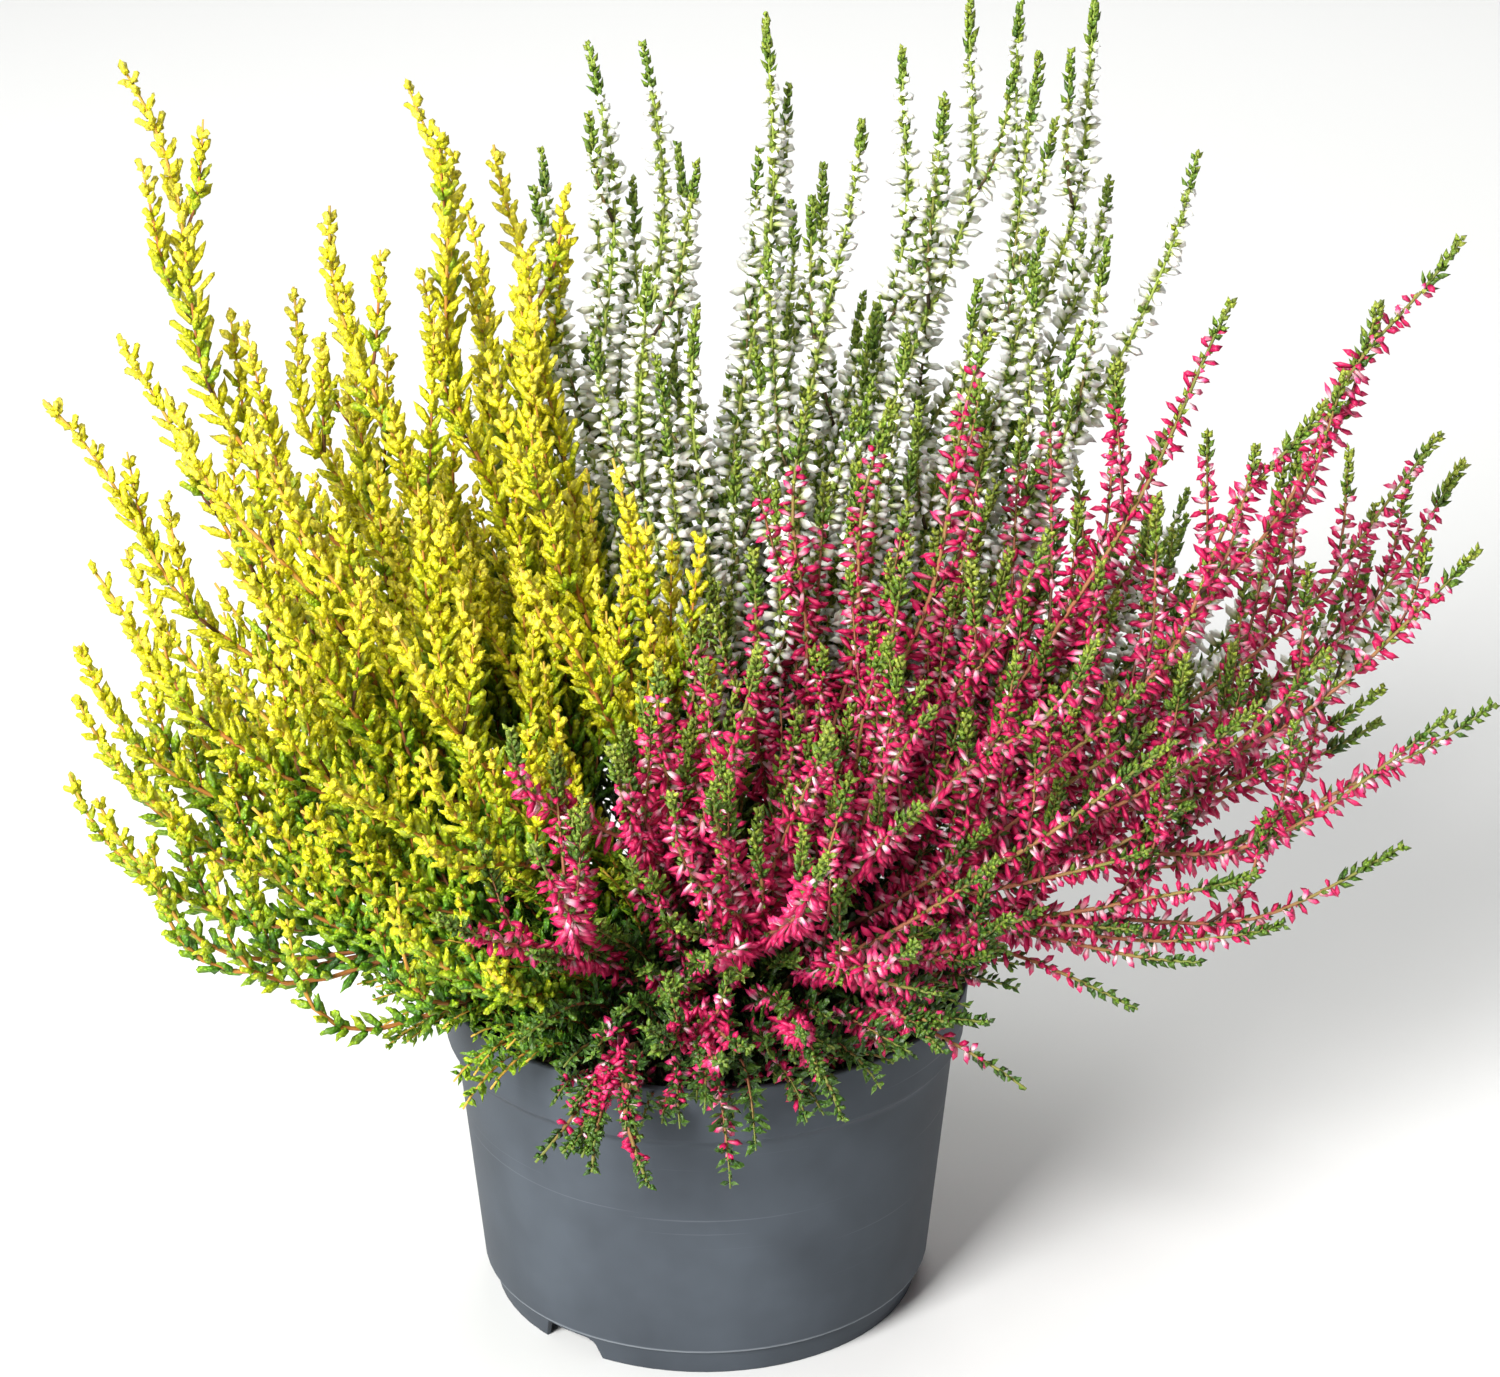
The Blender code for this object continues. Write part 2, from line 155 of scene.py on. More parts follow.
def add_node(material, kind, inputs=(), **settings):
    """A shader node with its settings. An input takes a value, a node or a node's output."""
    node = material.node_tree.nodes.new("ShaderNode" + kind)
    for name, value in settings.items():
        setattr(node, name, value)
    for name, source in dict(inputs).items():
        connect(material, node.inputs[name], source)
    return node


# Sockets that a Mix node uses for colours
COLOUR_A, COLOUR_B, MIXED = 6, 7, 2


def colour_stops(node, stops):
    """Set a colour ramp from (place, hex colour) pairs."""
    ramp = node.color_ramp
    while len(ramp.elements) > 1:
        ramp.elements.remove(ramp.elements[-1])
    for index, (place, colour) in enumerate(stops):
        element = ramp.elements[0] if index == 0 else ramp.elements.new(place)
        element.position = place
        element.color = linear(colour)
    return node


def dress(material, inputs):
    """Set or link sockets of the material's shader."""
    shader = material.node_tree.nodes["Principled BSDF"]
    for name, source in inputs.items():
        connect(material, shader.inputs[name], source)


def new_material(name, inputs):
    """A material with one principled shader and its plain settings."""
    material = bpy.data.materials.new(name)
    material.use_nodes = True
    dress(material, inputs)
    return material


def rounded(corners):
    """A profile of (radius, height, rounding) corners, each replaced by a parabola that starts
    and ends the rounding's distance away from it. Its points are no more than a step apart."""
    corners = np.array(corners)
    place, rounding = corners[:, :2], corners[:, 2:]
    before = place - np.roll(place, 1, axis=0)
    before /= np.maximum(np.linalg.norm(before, axis=1), 1e-9)[:, None]
    after = np.roll(before, -1, axis=0)
    t = np.linspace(0, 1, 4)[None, :, None]
    start = (place - rounding * before)[:, None]
    end = (place + rounding * after)[:, None]
    curve = (1 - t) ** 2 * start + 2 * t * (1 - t) * place[:, None] + t ** 2 * end
    curve = curve.reshape(-1, 2)
    run = np.concatenate([[0], np.cumsum(np.linalg.norm(np.diff(curve, axis=0), axis=1))])
    new = np.unique(np.concatenate([run, np.arange(0, run[-1], PROFILE_STEP)]).round(6))
    return np.interp(new, run, curve[:, 0]), np.interp(new, run, curve[:, 1])


def wall_radius(height):
    """Outer radius of the pot's straight wall at a height between its foot and its neck."""
    share = (height - STEP_HEIGHT) / (NECK_HEIGHT - STEP_HEIGHT)
    return STEP_RADIUS + (NECK_RADIUS - STEP_RADIUS) * share


def pot_profile():
    """Underside, foot, outside wall, rim, inside wall and inside floor, in that order, each
    corner with its radius, height and rounding."""
    floor_top = FLOOR_HEIGHT + WALL
    return rounded([
        (NEAR_AXIS, 0, 0),
        (PAD_RADIUS, 0, 0.0006),
        (PAD_RADIUS + PAD_SLOPE, FLOOR_HEIGHT, 0.001),
        (FOOT_RADIUS - 0.0002, FLOOR_HEIGHT, 0.0005),
        (FOOT_RADIUS - WALL, 0, 0.0002),
        (FOOT_RADIUS, 0, 0.0004),
        (STEP_RADIUS - STEP_INSET, FLOOR_HEIGHT, 0.0003),
        (STEP_RADIUS, STEP_HEIGHT, 0.0004),
        (NECK_RADIUS, NECK_HEIGHT, 0.0012),
        (RIM_RADIUS - BAND_TAPER, BAND_BOTTOM, 0.0006),
        (RIM_RADIUS, POT_HEIGHT - LIP_EDGE / 2, 0.0004),
        (RIM_RADIUS - LIP_WIDTH / 2, POT_HEIGHT, 0.0004),
        (RIM_RADIUS - LIP_EDGE - LIP_WIDTH, POT_HEIGHT - LIP_EDGE / 2, 0.0003),
        (RIM_RADIUS - BAND_TAPER - BAND_WALL, BAND_BOTTOM + WALL, 0.001),
        (NECK_RADIUS - WALL, NECK_HEIGHT, 0.001),
        (wall_radius(floor_top) - WALL, floor_top, 0.001),
        (PAD_RADIUS + PAD_SLOPE, floor_top, 0.001),
        (PAD_RADIUS, WALL, 0.001),
        (NEAR_AXIS, WALL, 0),
    ])


def notch_lift(bearing):
    """Height to which the foot is cut away at a bearing: full over a slot, and falling in a curve
    to nothing over the taper at its sides."""
    middle = NOTCH_BEARINGS[:, None]
    away = np.abs((bearing - middle + np.pi) % (2 * np.pi) - np.pi).min(axis=0) * FOOT_RADIUS
    share = np.clip((NOTCH_WIDTH / 2 - away) / (NOTCH_TAPER / 2), 0, 1)
    return NOTCH_HEIGHT * share ** NOTCH_CURVE


def round_turn(count):
    """Angles of points evenly spaced round a circle."""
    return 2 * np.pi * np.arange(count) / count


def turned(radius, height, bearings):
    """Points of a profile turned about the Z axis: both ends on the axis, rings between them."""
    x = radius[:, None] * np.cos(bearings)
    y = radius[:, None] * np.sin(bearings)
    z = np.broadcast_to(height[:, None], x.shape)
    rings = np.stack([x, y, z], axis=-1).reshape(-1, 3)
    return np.concatenate([[[0, 0, height[0]]], rings, [[0, 0, height[-1]]]])


def pot_points():
    """The turned pot profile, with the foot raised along its own slope at the slots."""
    radius, height = pot_profile()
    edges = np.linspace(-NOTCH_WIDTH / 2, NOTCH_WIDTH / 2, NOTCH_EDGES) / FOOT_RADIUS
    slots = (NOTCH_BEARINGS[:, None] + edges).ravel()
    bearings = np.unique(np.concatenate([round_turn(POT_SIDES), slots]).round(5))
    points = turned(radius, height, bearings)
    rings = points[1:-1].reshape(len(radius), len(bearings), 3)
    foot = (radius > FOOT_START)[:, None] & (height < FLOOR_HEIGHT)[:, None]
    lifted = np.where(foot, np.maximum(rings[..., 2], notch_lift(bearings)), rings[..., 2])
    grow = 1 + FOOT_SLOPE * (lifted - rings[..., 2]) / radius[:, None]
    rings[..., :2] *= grow[..., None]
    rings[..., 2] = lifted
    return points, skin_faces(len(radius), len(bearings))


def drain_pegs():
    """Round pegs, one for each drain hole, on a ring in the floor."""
    reach = np.array([FLOOR_HEIGHT - WALL, FLOOR_HEIGHT + 2 * WALL])
    peg = turned(np.full(2, DRAIN_RADIUS), reach, round_turn(DRAIN_SIDES))
    around = 2 * np.pi * (np.arange(DRAIN_COUNT) + 0.5) / DRAIN_COUNT
    centres = DRAIN_RING * np.stack([np.cos(around), np.sin(around), 0 * around], axis=1)
    points = (centres[:, None] + peg).reshape(-1, 3)
    faces = skin_faces(2, DRAIN_SIDES)
    shift = len(peg) * np.arange(DRAIN_COUNT)[:, None, None]
    return points, (faces + shift).reshape(-1, 3)


def moulded_polypropylene():
    """Polypropylene, injection moulded: a satin dark grey with cloudy flow marks, thin pale rings
    of scuffs from stacking, and a painted highlight, a paler line along the edge above the foot."""
    plastic = new_material("moulded polypropylene", {"Roughness": 0.5, "Specular IOR Level": 0.08})
    place = add_node(plastic, "TexCoord").outputs["Object"]
    cloud = add_node(plastic, "TexNoise", {"Vector": place, "Scale": FLOW_MARKS, "Detail": 3})
    body = colour_stops(
        add_node(plastic, "ValToRGB", {"Fac": cloud}), [(0.3, "#40454B"), (0.7, "#4C5259")])
    flat = add_node(
        plastic, "Mapping", {"Vector": place, "Rotation": SCUFF_TILT, "Scale": SCUFFS})
    streak = add_node(plastic, "TexNoise", {"Vector": flat, "Scale": 1, "Detail": 1})
    thin = add_node(plastic, "MapRange", {
        "Value": streak, "From Min": 0.70, "From Max": 0.80, "To Max": 0.35})
    scuffed = add_node(plastic, "Mix", {
        "Factor": thin, COLOUR_A: body, COLOUR_B: linear("#868C93")}, data_type="RGBA")
    # Painted highlight: a paler colour in a thin line along the rounded edge above the foot, where
    # light catches the step.
    height = add_node(plastic, "SeparateXYZ", {"Vector": place}).outputs["Z"]
    off_edge = add_node(plastic, "Math", {0: height, 1: STEP_HEIGHT}, operation="SUBTRACT")
    near = add_node(plastic, "Math", {0: off_edge}, operation="ABSOLUTE")
    edge_highlight = add_node(plastic, "MapRange", {
        "Value": near, "From Min": 0.0002, "From Max": 0.0007, "To Min": 0.65, "To Max": 0})
    highlighted = add_node(plastic, "Mix", {
        "Factor": edge_highlight, COLOUR_A: scuffed.outputs[MIXED], COLOUR_B: linear("#8F959B")},
        data_type="RGBA")
    grain = add_node(plastic, "TexNoise", {
        "Vector": place, "Scale": 1 / PLASTIC_GRAIN, "Detail": 2})
    bump = add_node(plastic, "Bump", {"Height": grain, "Strength": 0.12, "Distance": 0.0002})
    rough = add_node(plastic, "MapRange", {"Value": cloud, "To Min": 0.44, "To Max": 0.60})
    dress(plastic, {"Base Color": highlighted.outputs[MIXED], "Roughness": rough, "Normal": bump})
    return plastic


pot = mesh_object("nursery_pot", *pot_points())
pegs = mesh_object("drain_pegs", *drain_pegs())
drill = pot.modifiers.new("drain holes", "BOOLEAN")
drill.operation = "DIFFERENCE"
drill.object = pegs
drilled = bpy.data.meshes.new_from_object(pot.evaluated_get(bpy.context.evaluated_depsgraph_get()))
pot.modifiers.clear()
pot.data = drilled
bpy.data.objects.remove(pegs)
pot.data.shade_smooth()
pot.data.set_sharp_from_angle(angle=math.radians(SHARP_EDGE))
pot.data.materials.clear()
pot.data.materials.append(moulded_polypropylene())
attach(pot, "root")
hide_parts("pot")


# Potting mix. Damp peat with fine bark, filled to a finger's width under the rim and pressed in by
# hand, so its top is uneven and strewn with crumbs, and its sides take the shape of the pot.

SOIL_TOP = 0.080
SOIL_GAP = 0.0005
SOIL_DIP = 0.0018
SOIL_SIDES = 48
SOIL_RINGS = 22
LUMP_WAVES = 14
LUMP_LENGTHS = (0.007, 0.030)
LUMP_SLOPE = 0.10
CRUMBS = 260
CRUMB_SIZES = (0.0009, 0.0026)
CRUMB_EDGE = 0.006
CRUMB_SINK = 0.0022
PEAT_GRAIN = 0.003


def lumps(x, y):
    """Uneven ground: a sum of waves 7 to 30 mm long that run in all directions, each as high as
    gives it the same steepest slope."""
    rng = np.random.default_rng(5)
    turn, phase = rng.uniform(0, 2 * np.pi, (2, LUMP_WAVES))
    wave = 2 * np.pi / np.geomspace(*LUMP_LENGTHS, LUMP_WAVES)
    along = np.multiply.outer(x, np.cos(turn) * wave) + np.multiply.outer(y, np.sin(turn) * wave)
    return (np.sin(along + phase) / wave).sum(axis=-1) * LUMP_SLOPE


def soil_points():
    """Underside and sides just inside the pot, a rounded edge, then rings over the top that the
    lumps raise."""
    gap = SOIL_GAP
    edge = NECK_RADIUS - WALL - gap
    floor_top = FLOOR_HEIGHT + WALL + gap
    side = [
        (NEAR_AXIS, WALL + gap),
        (PAD_RADIUS - gap, WALL + gap),
        (PAD_RADIUS + PAD_SLOPE - gap, floor_top),
        (wall_radius(floor_top) - WALL - gap, floor_top),
        (edge, NECK_HEIGHT),
        (edge - 0.0005, SOIL_TOP - 0.004),
        (edge - 0.002, SOIL_TOP - 0.0025),
    ]
    over = [(out, SOIL_TOP - SOIL_DIP) for out in np.linspace(edge - 0.003, NEAR_AXIS, SOIL_RINGS)]
    radius, height = np.array(side + over).T
    points = turned(radius, height, round_turn(SOIL_SIDES))
    on_top = points[:, 2] > SOIL_TOP - 1.1 * SOIL_DIP
    points[on_top, 2] += lumps(points[on_top, 0], points[on_top, 1])
    return points, skin_faces(len(radius), SOIL_SIDES)


def unit(vectors):
    """Vectors of length one."""
    return vectors / np.linalg.norm(vectors, axis=-1, keepdims=True)


def spindle_form(radius, height, sides):
    """A small closed form of length one: a point on the origin, rings of the given radius and
    height above it, and a point at the top."""
    form = turned(np.array(radius), np.array(height), round_turn(sides))
    form[0, 2], form[-1, 2] = 0, 1
    return form, skin_faces(len(radius), sides)


def laid_out(form, faces, base, direction, length, width, roll):
    """Copies of a small form that stands on the origin along +Z. Each is stretched to its length
    and width, rolled about its own axis, and laid from its base along its direction."""
    upright = np.abs(direction[:, 2:]) > 0.9
    helper = np.where(upright, [[1.0, 0, 0]], [[0, 0, 1.0]])
    side = unit(np.cross(helper, direction))
    other = np.cross(direction, side)
    turned_x = np.cos(roll)[:, None] * side + np.sin(roll)[:, None] * other
    turned_y = np.cos(roll)[:, None] * other - np.sin(roll)[:, None] * side
    x, y, z = form.T
    wide = width[:, None, None]
    points = base[:, None] + wide * x[:, None] * turned_x[:, None]
    points += wide * y[:, None] * turned_y[:, None]
    points += length[:, None, None] * z[:, None] * direction[:, None]
    copies = faces + len(form) * np.arange(len(base))[:, None, None]
    return points.reshape(-1, 3), copies.reshape(-1, 3)


def crumb_points():
    """Crumbs strewn over the soil: five-sided lumps, a little sunk, each turned its own way."""
    rng = np.random.default_rng(8)
    out = (NECK_RADIUS - CRUMB_EDGE) * np.sqrt(rng.uniform(0, 1, CRUMBS))
    turn = rng.uniform(0, 2 * np.pi, CRUMBS)
    x, y = out * np.cos(turn), out * np.sin(turn)
    base = np.stack([x, y, SOIL_TOP - CRUMB_SINK + lumps(x, y)], axis=1)
    direction = unit(rng.normal(size=(CRUMBS, 3)) + [0, 0, 1.5])
    size = rng.uniform(*CRUMB_SIZES, CRUMBS)
    form, faces = spindle_form([0.8, 0.9], [0.3, 0.75], 5)
    return laid_out(form, faces, base, direction, 1.3 * size, 0.8 * size, turn)


def damp_peat():
    """Damp peat with bark, sieved: almost black, with brown crumbs 3 mm wide, and rough all over."""
    peat = new_material("damp peat", {"Roughness": 0.95})
    place = add_node(peat, "TexCoord").outputs["Object"]
    crumb = add_node(peat, "TexNoise", {"Vector": place, "Scale": 1 / PEAT_GRAIN, "Detail": 4})
    bark = colour_stops(
        add_node(peat, "ValToRGB", {"Fac": crumb}),
        [(0.35, "#17110C"), (0.55, "#2E2118"), (0.72, "#54402C")])
    bump = add_node(peat, "Bump", {"Height": crumb, "Strength": 0.7, "Distance": 0.0008})
    dress(peat, {"Base Color": bark, "Normal": bump})
    return peat


soil_mesh, soil_faces = soil_points()
crumb_mesh, crumb_faces = crumb_points()
soil = mesh_object(
    "potting_mix", np.concatenate([soil_mesh, crumb_mesh]),
    np.concatenate([soil_faces, crumb_faces + len(soil_mesh)]))
soil.data.materials.append(damp_peat())
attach(soil, "root")
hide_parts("soil")


# The bush. Three rooted heathers stand in one pot, and their woody stems lean out over the rim and
# turn up again. Each stem carries side shoots, which fork from it low down, and short leafy
# shoots round its foot.

# A seed is a point of the unit disc, as a complex number: its angle is the bearing that a shoot
# leans to, and its distance says how far out it stands and how much it leans. These say how the
# seeds are spread, and how shoots lean, sway and fork.
SPRAY_COUNT = 44
SHOOT_COUNT = 128
STEM_RING = 0.049
GOLDEN_TURN = math.pi * (3 - math.sqrt(5))
CLOSEST_SEEDS = 0.14
SPREAD_ROUNDS = 60
SPREAD_PUSH = 0.4
OUT_OF_REACH = 9
LEAN_RISE = 0.058
LEAN_TURN_START = 0.070
LEAN_TURN_RUN = 0.160
SWAY = 0.005
SWAY_WAVE = 0.150
FORK_RUN = 0.080
FORK_STEP = 0.010
FIRST_FORK = 0.020
PATH_STEP = 0.0025
STEM_DEPTH = 0.005

# More shoots between those, and short leafy ones at the foot, in the front middle and at the rim
BETWEEN_SEEDS = 260
BETWEEN_GAP = {"white": 0.060, "yellow": 0.068, "pink": 0.066}
FOOT_SEEDS = 138
FOOT_OUTWARD = 0.5
FOOT_LENGTH = 0.085
FOOT_LOSS = 0.030
MIDDLE_SHOOTS = 30
MIDDLE_PLACE = (0.36, 262)
MIDDLE_SPREAD = 0.34
RIM_TUFTS = 54
RIM_STRETCH = (188, 352)
RIM_RING = 1.051
RIM_WAVER = 0.05
RIM_TUFT_SHARE = {"yellow": 0.92, "white": 0.62, "pink": 0.64}

# How a shoot bends on its own, branches, and turns up to the light: by one share, and by a second
# that grows with the square of how far out it stands, and makes it longer
BEND = {"white": 0.0014, "yellow": 0.0035, "pink": 0.0030}
BEND_WAVES = (0.07, 0.13)
TURN_UP = {"yellow": (0.0, 0.75), "white": (0.40, 0.0), "pink": (0.0, 0.22)}
TURNED_GROWTH = 0.12
BRANCHES_FROM = 0.040
BRANCHES_END = 0.042
BRANCH_TURN = 0.026

# Wood: corners of a stem, radius at its foot and tip, and the path points between its rings
MAIN_SIDES = 4
FINE_SIDES = 3
STEM_STEP = 3
SHOOT_TIP = 0.0004
SIDE_SHOOT = 0.8
BRANCH_WOOD = (0.0006, 0.0003)
FOOT_WOOD = (0.0008, 0.0003)

# What stands on a stem comes in bunches, greener and darker towards the ground, partly the real
# greening of leaves in shade and partly painted shade, and short beside the rim
BUNCHES = (0.012, 0.022)
PAINTED_SHADE_RISE = 0.125
PAINTED_SHADE_SHARE = 0.35
RIM_CLEARANCE = 0.0005
SHORTEST_LEAF = 0.0008

# The finishes, in the order of a piece's materials
WOOD, LEAVES, FOOT_LEAVES, BUDS = range(4)

# Each plant's stretch of bearings, where 377 is 17 past a whole turn
SECTORS = {"white": (17, 122), "yellow": (122, 240), "pink": (240, 377)}

# The shoots that make the outline, each as the share of the stem ring, the bearing and the length
TALL_SHOOTS = (
    (0.45, 170, 0.270), (0.28, 150, 0.250), (0.33, 165, 0.225), (0.30, 130, 0.230),
    (0.60, 180, 0.205), (0.55, 170, 0.205), (0.46, 190, 0.205), (0.41, 195, 0.185),
    (0.65, 190, 0.180), (0.88, 195, 0.100), (0.18, 175, 0.185), (0.24, 115, 0.250),
    (0.20, 105, 0.250), (0.36, 119, 0.225), (0.35, 95, 0.220), (0.25, 75, 0.255),
    (0.20, 45, 0.230), (0.41, 60, 0.250), (0.37, 47, 0.265), (0.48, 50, 0.275),
    (0.43, 36, 0.280), (0.53, 40, 0.235), (0.50, 25, 0.245), (0.94, 19, 0.205),
    (0.58, 0, 0.260), (0.45, 0, 0.220), (0.52, 350, 0.220), (0.26, 355, 0.200),
    (0.73, 10, 0.220), (0.82, 15, 0.225), (0.79, 5, 0.205), (0.83, 352, 0.175),
    (0.82, 342, 0.130), (0.86, 332, 0.095), (0.14, 290, 0.140), (0.31, 260, 0.135),
    (0.43, 242, 0.140), (0.33, 275, 0.145), (0.40, 288, 0.135), (0.49, 303, 0.120),
)

# Short shoots that stand in the front middle or hang over the rim, given in the same way
LOW_SHOOTS = (
    (0.10, 250, 0.112), (0.24, 266, 0.106), (0.38, 256, 0.100), (0.40, 280, 0.102),
    (0.55, 267, 0.090), (0.70, 256, 0.080), (0.72, 277, 0.080), (0.62, 246, 0.086),
    (0.98, 172, 0.128), (0.97, 189, 0.130), (0.98, 203, 0.118), (1.05, 176, 0.105),
    (1.10, 185, 0.108), (1.12, 196, 0.110), (1.14, 207, 0.100), (1.10, 216, 0.095),
    (1.12, 228, 0.080), (1.10, 240, 0.062), (1.10, 254, 0.056), (1.10, 268, 0.052),
    (1.12, 282, 0.056), (1.12, 297, 0.060), (1.12, 312, 0.068), (1.12, 330, 0.076),
    (1.10, 350, 0.088), (1.06, 5, 0.125),
)


def ease(x):
    """Smooth step from 0 to 1."""
    x = np.clip(x, 0, 1)
    return x * x * (3 - 2 * x)


def seed_at(ring, bearing):
    """Seed at a share of the stem ring and a bearing in degrees."""
    return ring * np.exp(1j * np.radians(bearing))


def sunflower(count):
    """Evenly spread seeds, each a golden turn after the last."""
    step = np.arange(count) + 0.5
    return np.sqrt(step / count) * np.exp(1j * GOLDEN_TURN * step)


def full_lean(seed):
    """Greatest lean from upright of a shoot, in proportion to how far out it stands: 77 degrees at
    the back edge and 103 in front, and up to 40 more at the very front, where shoots hang."""
    facing = np.sin(np.angle(seed))
    front_edge = np.clip(-facing, 0, 1) * np.abs(seed)
    return np.radians(90 - 13 * facing + 40 * front_edge ** 4) * np.abs(seed)


def lean_share(length):
    """Share of the full lean along a shoot: 30 % in the pot, eased to all of it past the rim, then
    upright again at 42 % for each run."""
    rise = ease(length / LEAN_RISE)
    return 0.30 + 0.70 * rise - 0.42 * np.clip((length - LEAN_TURN_START) / LEAN_TURN_RUN, 0, 1.4)


def sway(points, length):
    """A slow waver shared by neighbours, so that shoots bend alike and stay apart: a sine wave in
    each direction, which runs along the other two and grows to full 130 mm up the shoot."""
    x, y, z = points.T
    wave = 2 * math.pi / SWAY_WAVE
    along_x = np.sin(wave * (z + 0.6 * y) + 0.7)
    along_y = np.sin(wave * (x - 0.7 * z) + 2.1)
    along_z = 0.5 * np.sin(wave * (y + 0.5 * x) + 4.0)
    grow = np.clip((length - 0.03) / 0.10, 0, 1)
    return SWAY * grow[:, None] * np.stack([along_x, along_y, along_z], axis=1)


def point_at(seed, length):
    """Points at the given lengths along the shoots of one seed, or of one seed each: the lean is
    summed along the shoot, which gives how far out and how far up each point is."""
    seed = np.broadcast_to(seed, length.shape)
    steps = (np.arange(32) + 0.5) / 32
    angle = full_lean(seed)[:, None] * lean_share(length[:, None] * steps)
    out = STEM_RING * np.abs(seed) + length * np.sin(angle).mean(axis=1)
    up = SOIL_TOP + length * np.cos(angle).mean(axis=1)
    towards = np.exp(1j * np.angle(seed))
    points = np.stack([out * towards.real, out * towards.imag, up], axis=1)
    return points + sway(points, length)


def usual_length(seed):
    """Length of a shoot by its place: in the middle 200 mm, more at the back and less in front; at
    the edge 78 mm in front, and 120 mm more elsewhere, less some at the left and the back."""
    facing = np.sin(np.angle(seed))
    front = np.clip(-facing, 0, 1)
    back = np.clip(facing, 0, 1)
    left = np.clip(-np.cos(np.angle(seed)), 0, 1)
    inner = 0.200 + 0.035 * back - 0.060 * front
    outer = 0.078 + (0.120 - 0.040 * left) * (1 - ease(front / 0.55)) - 0.020 * back
    return inner + (outer - inner) * ease((np.abs(seed) - 0.45) / 0.40)


def seed_shoots():
    """Seeds and lengths of all the shoots. The tall ones are put in their own places, and the
    others are pushed apart, round after round, where two stand too close."""
    rng = np.random.default_rng(11)
    seeds = sunflower(SHOOT_COUNT) * 0.96
    lengths = usual_length(seeds) * rng.uniform(0.78, 1.04, SHOOT_COUNT)
    held = np.zeros(SHOOT_COUNT, bool)
    for ring, bearing, length in TALL_SHOOTS:
        seed = seed_at(ring, bearing)
        nearest = int(np.argmin(np.abs(seeds - seed) + OUT_OF_REACH * held))
        seeds[nearest], lengths[nearest], held[nearest] = seed, length, True
    for _ in range(SPREAD_ROUNDS):
        away = seeds[:, None] - seeds[None]
        far = np.abs(away) + OUT_OF_REACH * np.eye(SHOOT_COUNT)
        push = np.where(far < CLOSEST_SEEDS, (CLOSEST_SEEDS - far) / far, 0)
        seeds = np.where(held, seeds, seeds + SPREAD_PUSH * (away * push).sum(axis=1))
        seeds = seeds / np.maximum(1, np.abs(seeds))
    return seeds, lengths


def plant_at(seed):
    """Name of the plant whose stretch holds a seed's bearing."""
    bearing = math.degrees(np.angle(seed))
    return next(plant for plant, (start, end) in SECTORS.items()
                if (bearing - start) % 360 < end - start)


def between_shoots(seeds):
    """More shoots in the room left between the given ones, a little shorter than those, and the
    low ones that hang over the rim."""
    rng = np.random.default_rng(23)
    tries = sunflower(BETWEEN_SEEDS) * 0.97
    gap = np.array([BETWEEN_GAP[plant_at(seed)] for seed in tries])
    tries = tries[np.abs(tries[:, None] - seeds[None]).min(axis=1) > gap]
    lengths = usual_length(tries) * rng.uniform(0.60, 0.98, len(tries))
    ring, bearing, low_lengths = np.array(LOW_SHOOTS).T
    return np.append(tries, seed_at(ring, bearing)), np.append(lengths, low_lengths)


def nearest_sprays(seeds, centres):
    """Number of each seed's nearest spray of its own plant."""
    unlike = np.array([[plant_at(a) != plant_at(b) for b in centres] for a in seeds])
    return np.argmin(np.abs(seeds[:, None] - centres[None]) + unlike, axis=1)


def lay_out_foot():
    """Seeds of the short shoots: a sunflower pushed outward, a small one in the front middle, and
    a wavering row past the stem ring, for the tufts that hang over the rim."""
    spread = sunflower(FOOT_SEEDS)
    spread *= np.abs(spread) ** (FOOT_OUTWARD - 1)
    middle = seed_at(*MIDDLE_PLACE) + MIDDLE_SPREAD * sunflower(MIDDLE_SHOOTS)
    ring = RIM_RING + RIM_WAVER * np.sin(5 * np.arange(RIM_TUFTS))
    rim = seed_at(ring, np.linspace(*RIM_STRETCH, RIM_TUFTS))
    return np.concatenate([spread, middle, rim])


def lay_out_sprays():
    """Group each plant's shoots by their nearest spray; the first of a group is its main shoot."""
    seeds, lengths = seed_shoots()
    centres = sunflower(SPRAY_COUNT) * 0.95
    nearest = nearest_sprays(seeds, centres)
    more_seeds, more_lengths = between_shoots(seeds)
    more_nearest = nearest_sprays(more_seeds, centres)
    foot_seeds = lay_out_foot()
    foot_nearest = nearest_sprays(foot_seeds, centres)
    sprays = []
    for index, centre in enumerate(centres):
        members = sorted(np.flatnonzero(nearest == index), key=lambda k: abs(seeds[k] - centre))
        shoots = [(seeds[k], lengths[k]) for k in members]
        shoots += [(more_seeds[k], more_lengths[k]) for k in np.flatnonzero(more_nearest == index)]
        plant = plant_at(centre)
        number = 1 + sum(other["plant"] == plant for other in sprays)
        sprays.append({"seed": centre, "plant": plant, "number": number, "shoots": shoots,
                       "foot_seeds": foot_seeds[foot_nearest == index]})
    return sprays


def bent(points, length, most, rng):
    """The path with a slow waver of its own: a sine wave in each direction, which starts 45 mm
    along the shoot."""
    wave = 2 * math.pi / rng.uniform(*BEND_WAVES)
    phase = rng.uniform(0, 2 * math.pi, 3)
    grow = most * ease((length - 0.045) / 0.10)[:, None]
    return points + grow * np.sin(wave * length[:, None] + phase) * rng.uniform(0.4, 1.0, 3)


def run_of(start, end):
    """Lengths from start to end, about a path step apart."""
    return np.linspace(start, end, max(3, round((end - start) / PATH_STEP)) + 1)


def read_off(rows, length, place):
    """Rows that are known at some lengths along a path, read off at other places on it."""
    return np.stack([np.interp(place, length, row) for row in rows.T], axis=1)


